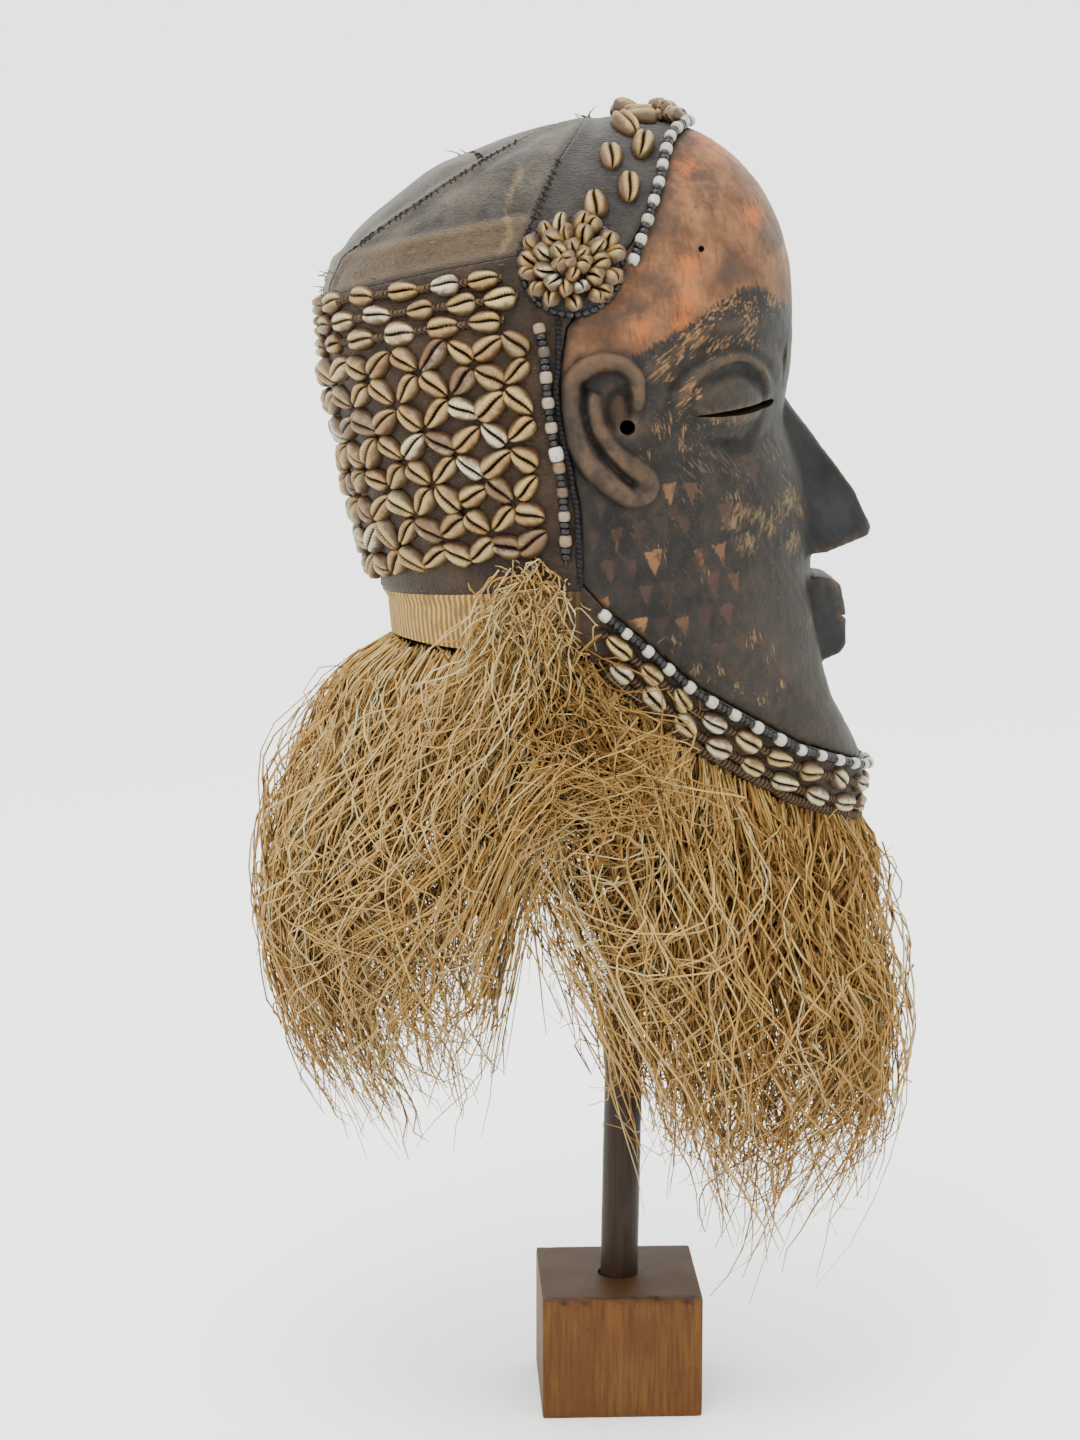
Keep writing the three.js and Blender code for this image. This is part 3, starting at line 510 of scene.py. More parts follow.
# %% Head form
centre_forward, centre_up = -5.0, 475.0
head_half_width = 88.0
outline = np.array([
    [82, 545], [78.5, 578], [64.5, 608], [40, 629.5], [5, 639], [-30, 635.5], [-68, 623], [-107, 602],
    [-132, 580], [-143, 561], [-143, 545], [-136, 490], [-130, 460], [-115, 411], [-112, 390],
    [-95, 330], [-50, 262], [5, 245], [65, 258], [112, 290], [119, 306], [120, 325], [114, 341],
    [104, 357], [95, 376], [93, 400], [93, 425], [80, 490], [79, 505],
])
fill_from, fill_to, fill_full = np.array([120.0, 325]), np.array([92.0, 432]), 42.0
knot_offset = outline - [centre_forward, centre_up]
knot_angle = np.unwrap(np.arctan2(knot_offset[:, 1], knot_offset[:, 0]))
knot_reach = np.hypot(*knot_offset.T)


def knot(i):
    turns = np.floor_divide(i, len(knot_angle))
    own = i - turns * len(knot_angle)
    return knot_angle[own] + 2 * np.pi * turns, knot_reach[own]


def middle_reach(angle):
    """The outline's distance from the head's centre, smooth through the knots."""
    turned = knot_angle[0] + np.mod(angle - knot_angle[0], 2 * np.pi)
    i = np.searchsorted(knot_angle, turned, side="right") - 1
    (a0, r0), (a1, r1), (a2, r2), (a3, r3) = [knot(i + k) for k in (-1, 0, 1, 2)]
    width = a2 - a1
    t = (turned - a1) / width
    slope1, slope2 = (r2 - r0) / (a2 - a0), (r3 - r1) / (a3 - a1)
    return ((1 + 2 * t) * (1 - t) ** 2 * r1 + t * (1 - t) ** 2 * width * slope1
            + t * t * (3 - 2 * t) * r2 + t * t * (t - 1) * width * slope2)


def angle_to(spot):
    return math.atan2(spot[1] - centre_up, spot[0] - centre_forward)


def outline_reach(angle, side):
    """Beside the mouth and the chin's hollow the cheeks fill out to a straight outline."""
    reach = middle_reach(angle)
    wrapped = np.arctan2(np.sin(angle), np.cos(angle))
    start, way = fill_from - [centre_forward, centre_up], fill_to - fill_from
    slope = np.cos(wrapped) * way[1] - np.sin(wrapped) * way[0]
    slope = np.where(np.abs(slope) < 1e-6, 1e-6, slope)
    line = (start[0] * way[1] - start[1] * way[0]) / slope
    share = np.clip(np.abs(side) / fill_full, 0, 1)
    share = share * share * (3 - 2 * share)
    filled = reach + share * (np.maximum(reach, line) - reach)
    return np.where((wrapped >= angle_to(fill_from)) & (wrapped <= angle_to(fill_to)), filled, reach)


def side_power(angle):
    return 2.0 - 0.2 * np.cos(angle) + 0.2 * np.sin(angle)


def head_level(spots):
    """Below one inside the head, one on its surface."""
    across, above = -spots[..., 1] - centre_forward, spots[..., 2] - centre_up
    angle = np.arctan2(above, across)
    power = side_power(angle)
    return ((np.hypot(across, above) / outline_reach(angle, spots[..., 0])) ** power
            + (np.abs(spots[..., 0]) / head_half_width) ** power)


def head_normal(spots):
    steps = 1.5 * np.eye(3)
    return unit(np.stack([head_level(spots + s) - head_level(spots - s) for s in steps], -1))


def cast(start, way):
    """Where lines out of the head meet its surface, and the surface's direction there."""
    start, way = np.broadcast_arrays(np.asarray(start, float), np.asarray(way, float))
    inside, outside = np.zeros(start.shape[:-1]), np.full(start.shape[:-1], 400.0)
    for _ in range(34):
        middle = (inside + outside) / 2
        within = head_level(start + middle[..., None] * way) < 1
        inside, outside = np.where(within, middle, inside), np.where(within, outside, middle)
    spot = start + inside[..., None] * way
    return spot, head_normal(spot)


def place(forward, side, up):
    forward, side, up = np.broadcast_arrays(forward, side, up)
    return np.stack([side, -forward, up], -1).astype(float)


def beside(forward, up, hand):
    return cast(place(forward, 0, up), [hand, 0, 0])


def above(forward, side):
    return cast(place(forward, side, centre_up), [0, 0, 1])


def around(axis_forward, azimuth, up):
    way = np.stack([np.sin(azimuth), -np.cos(azimuth), 0 * azimuth], -1)
    return cast(place(axis_forward, 0, up), way)


def around_line(axis_forward, azimuth, up_at):
    """Round the surface at a height that depends on the place forward."""
    azimuth = np.asarray(azimuth, float)
    spot, normal = around(axis_forward, azimuth, up_at(0 * azimuth))
    for _ in range(10):
        spot, normal = around(axis_forward, azimuth, up_at(-spot[..., 1]))
    return spot, normal


def head_form(name, inset, angle_count, turn_count):
    """The closed head form, set in from the true surface."""
    angle = np.linspace(0, 2 * np.pi, angle_count, endpoint=False)
    turn = (np.pi * (np.arange(1, turn_count) / turn_count - 0.5))[:, None]
    power = 2 / side_power(angle)
    half = head_half_width - inset
    side = half * np.sign(turn) * np.abs(np.sin(turn)) ** power
    reach = (outline_reach(angle, side) - inset) * np.cos(turn) ** power
    rows = place(centre_forward + reach * np.cos(angle), side, centre_up + reach * np.sin(angle))
    points = np.vstack([place(centre_forward, [-half, half], centre_up), rows.reshape(-1, 3)])
    corner = lambda row, i: 2 + row * angle_count + i % angle_count
    faces = []
    for i in range(angle_count):
        faces.append((0, corner(0, i), corner(0, i + 1)))
        faces.append((1, corner(turn_count - 2, i + 1), corner(turn_count - 2, i)))
        for row in range(turn_count - 2):
            faces.append((corner(row, i), corner(row + 1, i), corner(row + 1, i + 1), corner(row, i + 1)))
    return make(name, points, faces)


def side_prism(name, outline_points):
    """A block right through the head with this outline seen from the side."""
    count = len(outline_points)
    rows = [place(f, side, u) for side in (-150, 150) for f, u in outline_points]
    faces = [(i, (i + 1) % count, (i + 1) % count + count, i + count) for i in range(count)]
    made = make(name, rows, faces + [range(count)[::-1], range(count, 2 * count)])
    mesh = bmesh.new()
    mesh.from_mesh(made.data)
    bmesh.ops.recalc_face_normals(mesh, faces=mesh.faces)
    mesh.to_mesh(made.data)
    mesh.free()
    return made


print("the crown's height and the temple's half width:", above(5.0, 0.0)[0][2], beside(0.0, 480.0, 1)[0][0])

# %% [markdown]
# ## Carved face
# The face is one thick piece of light wood, carved, hollowed from behind and painted. A carver
# starts from the rounded block and adds nothing, but in mesh it is easier to join the nose, the
# mouth, the eyelids and the ears to the form, and then to remesh it all with small cubes. A
# smoothing pass then rounds the joins as a knife and wear would. The finer lines are cut last, by
# moving mesh points, because the remesh would lose them.

# %% Carved form
cut_top = 660.0
hair_line = [[34, cut_top], [33, 640], [25, 632], [18, 622], [11, 599], [-1, 579], [-17.5, 562]]
cheek_line = [[-17.5, 562], [-31, 541], [-33.8, 523], [-34, 507], [-31, 488], [-27, 471], [-25, 455], [-24, 424]]
jaw_line = [[-24, 424], [-14, 413], [3, 399], [31, 374], [51, 362], [81, 344], [105, 334], [122, 326]]
jaw_end = [160, 318]
wood_wall = 9.0
nose_ridge = [[78, 3, 507], [113.8, 3.6, 460], [122.2, 5, 442], [120.6, 6, 437.5]]
nose_wings = [[99, 20, 431], [88, 23, 430], [84, 22, 450], [74, 8, 508], [70, 5, 470]]
mouth_block = [[106.5, 15, 415], [109.2, 15, 400], [109.8, 15, 386], [106.5, 15, 381], [94, 22, 419.5],
               [101, 22, 418.5], [94, 22, 377], [84, 24, 416], [84, 24, 379]]
eye_forward, eye_up = 47.0, 505.0
eye_corners = [(26.6, 501.6), (70, 505.6)]
ear_rim = [[1.1, 503.9], [1.7, 512], [-0.1, 520.1], [-5.9, 524.8], [-14.2, 526], [-22.4, 523], [-28.3, 516.6],
           [-28.9, 508.5], [-28.3, 499.2], [-26.5, 491], [-22.4, 482.9], [-16.5, 476], [-9.5, 469.6],
           [-2.4, 465.2], [3.2, 463.8], [7.4, 465.4]]
ear_rim_radius = (2.6, 3.6, 4.0, 4.2, 4.4, 4.6, 4.8, 4.8, 4.8, 5.0, 5.3, 5.5, 5.5, 5.4, 5.0, 2.6)
ear_fold = [[-17.7, 512], [-18.9, 505], [-16.5, 495.7], [-10.6, 486.4], [-2.4, 479.4], [4.6, 473.6], [7.8, 468.6],
            [6.2, 465.4]]
ear_fold_radius = (3.2, 4.4, 4.6, 4.6, 5.0, 5.5, 5.7, 3.0)
ear_groove = [[-23, 516], [-23.4, 505], [-20.5, 494.5], [-14.2, 483.6], [-6.5, 475.4], [-0.5, 470.6]]
concha, concha_depth = (-7.0, 505.5), 3.6
ear_hole = (-3.0, 496.3)


def wedge(name, corners):
    """The tight skin round corners given as forward, half width and up."""
    mesh = bmesh.new()
    for forward, side, up in corners:
        for hand in (-1, 1):
            mesh.verts.new(place(forward, hand * side, up))
    bmesh.ops.convex_hull(mesh, input=mesh.verts[:])
    spots = [v.co[:] for v in mesh.verts]
    mesh.verts.index_update()
    faces = [[v.index for v in face.verts] for face in mesh.faces]
    mesh.free()
    return make(name, spots, faces)


def eye_frame(hand):
    """The eye's own axes: along the slit, upwards and outwards, and its place."""
    spot, normal = beside(eye_forward, eye_up, hand)
    outer, inner = [beside(f, u, hand)[0] for f, u in eye_corners]
    along = unit(inner - outer)
    out = unit(normal - along * (normal @ along))
    upward = np.cross(out, along)
    upward *= np.sign(upward[2])
    return np.stack([along, upward, out]), spot, normal, (inner + outer) / 2


def eye_dome(hand, size, lift, rings=40):
    """An ellipsoid over the eye, with its middle at a height above the surface."""
    axes, spot, normal, _ = eye_frame(hand)
    dip = np.linspace(0, np.pi, rings)[1:-1, None]
    turn = np.linspace(0, 2 * np.pi, 2 * rings, endpoint=False)
    ball = np.stack([np.sin(dip) * np.cos(turn), np.sin(dip) * np.sin(turn), np.cos(dip) + 0 * turn], -1)
    ball = np.vstack([[[0, 0, 1], [0, 0, -1]], ball.reshape(-1, 3)])
    count = 2 * rings
    faces = []
    for i in range(count):
        j = (i + 1) % count
        faces += [(0, 2 + i, 2 + j), (1, 2 + (rings - 3) * count + j, 2 + (rings - 3) * count + i)]
        for row in range(rings - 3):
            a, b = 2 + row * count, 2 + (row + 1) * count
            faces.append((a + i, b + i, b + j, a + j))
    points = (ball * size) @ axes + spot + normal * lift
    made = make("eye_dome", points, faces if hand < 0 else [face[::-1] for face in faces])
    return made


def surface_bar(path, radius, lift, hand, count, flat=1.0):
    """A rounded bar along the head's surface through forward and up places."""
    fine = smooth_path(path, count)
    spot, normal = beside(fine[:, 0], fine[:, 1], hand)
    wave = np.interp(np.linspace(0, 1, count), np.linspace(0, 1, len(radius)), radius)
    points, faces = tube(spot + normal * lift, wave, 18, flat)
    return make("bar", points, faces)


face = head_form("carved_face_wood", 0, 300, 150)
front = side_prism("front_part", hair_line + cheek_line[1:] + jaw_line[1:] + [jaw_end, [jaw_end[0], cut_top]])
for hand in (-1, 1):
    hollow = eye_dome(hand, (36, 27, 13), 6)
    cut(face, hollow)
    lid = eye_dome(hand, (28, 19.5, 9), -7.5)
    cut(face, lid, "UNION")
    rim = surface_bar(ear_rim, ear_rim_radius, 2.6, hand, 70)
    fold = surface_bar(ear_fold, ear_fold_radius, 1.6, hand, 44)
    cut(face, rim, "UNION")
    cut(face, fold, "UNION")
    drop(hollow, lid, rim, fold)
for name, corners in (("nose", nose_ridge + nose_wings), ("mouth", mouth_block)):
    added = wedge(name, corners)
    cut(face, added, "UNION")
    drop(added)
cut(face, front, "INTERSECT")
drop(front)
fine = face.modifiers.new("fine", "REMESH")
fine.mode = "VOXEL"
fine.voxel_size = 1.4 * MM
soft = face.modifiers.new("soft", "SMOOTH")
soft.factor = 0.5
soft.iterations = 5
settle(face)
print("carved form has", len(face.data.vertices), "points")

# %% [markdown]
# ## The knife's finer lines
# On the real face the upper lid has two thin raised folds, the lower lid one, and a brow ridge
# arches over them. Each of these is a smooth bump whose height falls off with the distance from a
# curve, so the mesh points near it are simply moved outwards. The slits, the ear holes, the
# groove between the lips and the hollow inside are cut after that, and stay sharp.

# %% Lids and brows
lip_groove_forward, lip_groove_up = 109.5, 399.0
brow_arc = [[4, 516], [9, 520.6], [17, 528.2], [25.4, 535.3], [35.9, 540.5], [49.6, 542.4], [65.2, 541.4]]
lid_arc = [[19, 498], [20.6, 503.8], [22.1, 509.2], [25.3, 515], [31.5, 520.7], [39.6, 525], [47.5, 527.1],
           [54.6, 525.8], [61, 521.3], [64.5, 514.5], [67.8, 508]]
inner_arc = [[26.8, 509.5], [31.5, 514.4], [37.2, 519.7], [43.6, 522.4], [49.5, 522.4], [55.7, 519.8], [60, 514]]
lower_arc = [[24.5, 498.2], [30.2, 493.9], [40, 490.2], [51.2, 489.1], [60.7, 491.5], [67.6, 496.7]]


def near_line(forward, up, line):
    """The distance to a line of forward and up places, and the share of its length there."""
    line = np.asarray(line, float)
    spots = np.stack([forward, up], -1)
    nearest, share = np.full(len(spots), 1e9), np.zeros(len(spots))
    for i, (a, b) in enumerate(zip(line[:-1], line[1:])):
        t = np.clip(((spots - a) @ (b - a)) / ((b - a) @ (b - a)), 0, 1)
        reach = np.hypot(*(spots - a - t[:, None] * (b - a)).T)
        closer = reach < nearest
        nearest = np.where(closer, reach, nearest)
        share = np.where(closer, (i + t) / (len(line) - 1), share)
    return nearest, share


def hill(distance, width):
    return np.exp(-(distance / width) ** 2)


spots = points_of(face)
side_on, height = -spots[:, 1], spots[:, 2]
raised = np.zeros(len(spots))
for line, tall, width in ((lid_arc, 1.7, 2.3), (inner_arc, 0.5, 1.2), (lower_arc, 0.6, 2.2), (brow_arc, 1.1, 4.6)):
    reach, share = near_line(side_on, height, line)
    fade = np.clip(6 * share, 0, 1) * np.clip(6 * (1 - share), 0, 1)
    raised += tall * fade * (hill(reach, width) - 0.6 * hill(reach - 2.1 * width, width))
raised *= np.clip((np.abs(spots[:, 0]) - 14) / 8, 0, 1)
lid_spot = np.stack([(side_on - 47) / 22, (height - 504) / 16], -1)
raised += 2.0 * np.clip(1 - (lid_spot ** 2).sum(1), 0, 1) * (np.abs(spots[:, 0]) > 30)
socket = np.stack([(side_on - 50) / 30, (height - 512) / 24], -1)
socket_rim = hill(np.hypot(*socket.T) - 1.05, 0.16) * (height > 512) * (np.abs(spots[:, 0]) > 30)
raised -= 1.2 * socket_rim
hollow = np.stack([(side_on - concha[0]) / 6.5, (height - concha[1]) / 11], -1)
dug = concha_depth * np.clip(1.2 - (hollow ** 2).sum(1), 0, 1)
dug += 1.6 * hill(near_line(side_on, height, ear_groove)[0], 1.7)
raised -= dug * (np.abs(spots[:, 0]) > 50)
raised += 0.22 * wander(spots, 16, 21) + 0.1 * wander(spots, 5, 22)
outer = head_level(spots) > 0.93
move_points(face, spots + (raised * outer)[:, None] * head_normal(spots))
print("tallest fold", round(float(raised.max()), 2), "mm")


# %% Cuts in the face
def lens_slit(hand, half_height, depth):
    """A slit straight through the eye, pointed at its outer end and blunt at its inner one."""
    axes, _, _, middle = eye_frame(hand)
    outer, inner = [beside(f, u, hand)[0] for f, u in eye_corners]
    half = np.linalg.norm(inner - outer) / 2
    along = np.linspace(-1, 1, 21)
    tall = np.clip(1.1 * (1 + along), 0, 1) ** 0.55 * np.clip(7 * (1 - along), 0, 1) ** 0.5
    upper = np.stack([half * along, half_height * tall + 0.05], -1)
    rim = np.vstack([upper, upper[::-1] * [1, -1]])
    points = [np.array([a, u, o]) @ axes + middle for o in (-depth, depth) for a, u in rim]
    count = len(rim)
    faces = [(i, (i + 1) % count, (i + 1) % count + count, i + count) for i in range(count)]
    made = make("slit", points, faces + [range(count)[::-1], range(count, 2 * count)])
    mesh = bmesh.new()
    mesh.from_mesh(made.data)
    bmesh.ops.recalc_face_normals(mesh, faces=mesh.faces)
    mesh.to_mesh(made.data)
    mesh.free()
    return made


def round_bore(forward, up, hand, radius, depth):
    spot, _ = beside(forward, up, hand)
    path = spot + np.linspace(-depth, depth, 5)[:, None] * np.array([1.0, 0, 0])
    return make("bore", *tube(path, radius, 32))


def box(name, low, high):
    made = fine_box(name, 0)
    move_points(made, points_of(made) * MM * (np.subtract(high, low)) + np.add(low, high) / 2)
    return made


groove = box("lip_groove", (-30, -lip_groove_forward - 4, lip_groove_up - 1.1),
             (30, -lip_groove_forward + 4, lip_groove_up + 1.1))
cavity = head_form("cavity", wood_wall, 150, 76)
cut(face, groove)
cut(face, cavity)
drop(groove, cavity)
for hand in (-1, 1):
    bores = [lens_slit(hand, 1.75, 35), round_bore(*ear_hole, hand, 3.5, 20)]
    for bore in bores:
        cut(face, bore)
    drop(*bores)
nail_hole = round_bore(32, 577, -1, 1.5, 5)
cut(face, nail_hole)
drop(nail_hole)
print("face has", len(face.data.vertices), "points")


# %% [markdown]
# ## Paint and wear on the face
# The forehead keeps an orange-brown ground with brighter streaks and a grey film along the bead
# string. Below a curved line the face is painted dark, and that paint is worn through in fine
# slanting scratches and larger tan patches. On the cheek are rows of small light triangles, a
# common traditional ornament. All of this is colour only, so each area is kept as a number at the
# mesh points, and the finish breaks its edge up with noise.

# %% Where each colour lies
paint_line = [[-40, 512], [-16, 522], [-7, 526], [3, 530], [15, 537], [28, 545], [42, 554], [52, 560],
              [62, 559], [71, 553], [90, 548]]
orange_spots = [(23, 542), (25, 554), (26, 568), (3, 541), (25, 615), (37, 628), (45, 623), (58, 592)]
grey_spots = [(35, 607), (70, 581), (1, 553), (-10, 548), (10, 562), (16, 590), (46, 566)]
brow_spots = [
    (19, 528), (14, 523), (26, 534), (37, 532), (42, 533), (55, 550), (55, 544), (54, 536), (36, 548),
    (45, 554), (68, 553), (22, 506), (26, 512), (31, 540), (8, 519),
]
scrape_spots = [
    (38, 499), (47, 500), (52, 501), (22, 494), (23, 486), (14, 495), (17, 500), (5, 484), (67, 389),
    (40, 382), (73, 372), (51, 373), (106, 399), (118, 443), (84, 452), (30, 380), (58, 396), (48, 463),
    (88, 400), (20, 396), (62, 366), (34, 428), (12, 440),
]
scratch_spots = [(32, 488), (40, 481), (48, 476), (31, 477), (29, 468), (69, 483), (78, 468), (84, 452)]
tan_spots = [(52, 456), (60, 452), (66, 447), (71, 453), (80, 438), (55, 441), (78, 459), (48, 451)]
mark_pitch, mark_row, mark_height, mark_half = 10.4, 15.5, 14.5, 4.9


def blots(forward, up, places, size):
    """How near each place is, from 1 at it to 0 away from it."""
    nearest = np.full(len(forward), 1e9)
    for f, u in places:
        nearest = np.minimum(nearest, np.hypot(forward - f, up - u))
    return hill(nearest, size)


def cheek_marks(forward, up):
    """Light triangles that point down, in leaning rows: how far inside one, and each one's chance."""
    height = 470 - up + 0.16 * forward
    row = np.floor(height / mark_row)
    down = height - row * mark_row
    shift = mark_pitch / 2 * np.mod(row, 2) + 0.12 * height
    column = np.floor((forward - shift) / mark_pitch)
    chance, wide, skew, late = [np.mod(np.sin(column * 12.99 + row * 78.23 + k) * 43758.5, 1.0) for k in range(4)]
    across = forward - shift - (column + 0.5) * mark_pitch - 5 * (skew - 0.5) * (down / mark_height - 0.4)
    inside = np.minimum(mark_half * (0.62 + 0.45 * wide) * (1 - down / mark_height) - np.abs(across), down - 4 * late)
    middle = (column + 0.5) * mark_pitch + shift
    region = (middle > -20) & (middle < 74) & (row >= 0) & (row < 8) & (up > 376 + 0.0 * forward)
    fade = np.clip((74 - middle) / 30, 0.25, 1) * np.clip((up - 380) / 25, 0.3, 1)
    return np.where(region, np.clip(0.5 + inside / 7, 0, 1), 0.0), np.where(region, chance * fade, 0.0)


spots = points_of(face)
f, s, z = -spots[:, 1], np.abs(spots[:, 0]), spots[:, 2]
line = np.array(paint_line, float)
paint_edge = np.interp(f, line[:, 0], line[:, 1])
hair_edge = near_line(f, z, hair_line + cheek_line[1:2])[0]
ear = np.maximum(hill(near_line(f, z, ear_rim)[0], 8), hill(np.hypot(f + 10, z - 498), 14)) * (s > 60)
ear_shade = np.maximum(hill(near_line(f, z, ear_groove)[0], 1.9),
                       hill(np.hypot((f - concha[0]) / 4.5, (z - concha[1]) / 8.5), 1)) * (s > 60)
features = np.maximum(hill(np.maximum(s - 20, 0), 7) * np.clip((f - 78) / 8, 0, 1) * (z > 368) * (z < 508),
                      hill(np.hypot(f - 104, z - 398), 15))
note(face, "paint", np.clip(0.5 + (paint_edge - z) / 30, 0, 1))
note(face, "orange", blots(f, z, orange_spots, 8))
note(face, "grey", np.maximum(blots(f, z, grey_spots, 11), hill(hair_edge, 12)))
note(face, "brow", blots(f, z, brow_spots, 7))
note(face, "scrape", blots(f, z, scrape_spots, 6))
# Painted light: on the lower jaw the dark paint is made paler, as if lit from below by the floor.
note(face, "jaw", np.clip((446 - z) / 50, 0, 1) * np.clip((f - 20) / 40, 0, 1))
note(face, "scratch", blots(f, z, scratch_spots, 11))
note(face, "tan", blots(f, z, tan_spots, 7))
marks, chances = cheek_marks(f, z)
note(face, "marks", marks)
note(face, "mark_chance", chances)
note(face, "ear", ear)
note(face, "features", np.clip(features, 0, 1))
note(face, "inside", head_level(spots) < 0.925)
note(face, "edge", hill(np.minimum(hair_edge, near_line(f, z, cheek_line + jaw_line[1:])[0]), 3))


def bend(made, passes):
    """How far each point stands out of its smoothed neighbourhood, in millimetres."""
    spots = points_of(made)
    edges = np.empty(len(made.data.edges) * 2, np.int32)
    made.data.edges.foreach_get("vertices", edges)
    edges = edges.reshape(-1, 2)
    links = np.bincount(edges.ravel(), minlength=len(spots))[:, None]
    soft = spots.copy()
    for _ in range(passes):
        total = np.zeros_like(soft)
        np.add.at(total, edges[:, 0], soft[edges[:, 1]])
        np.add.at(total, edges[:, 1], soft[edges[:, 0]])
        soft = 0.5 * soft + 0.5 * total / np.maximum(links, 1)
    return ((spots - soft) * head_normal(spots)).sum(1)


stands = bend(face, 14)
below_eye = near_line(f, z, lower_arc)[0] < 7
note(face, "ridge", np.clip((stands - 0.1) / 0.5, 0, 1) * (z < paint_edge + 20) * ~below_eye)
# The hollows, the ear's groove and its concha turn near black: dark patina, and painted shade in the recesses.
note(face, "groove", np.maximum(np.clip((-stands - 0.12) / 0.5, 0, 1), ear_shade))
print("colour areas are noted on", len(spots), "points; the sharpest ridge stands", round(float(stands.max()), 2))


# %% Face finish
def worn_through(tree, wear, name, strength, low, high):
    """A mask of worn spots: a torn noise, helped where a noted area is strong."""
    worn = sums(tree, "ADD", wear, sums(tree, "MULTIPLY", noted(tree, name), strength))
    return step_up(tree, worn, low, high)


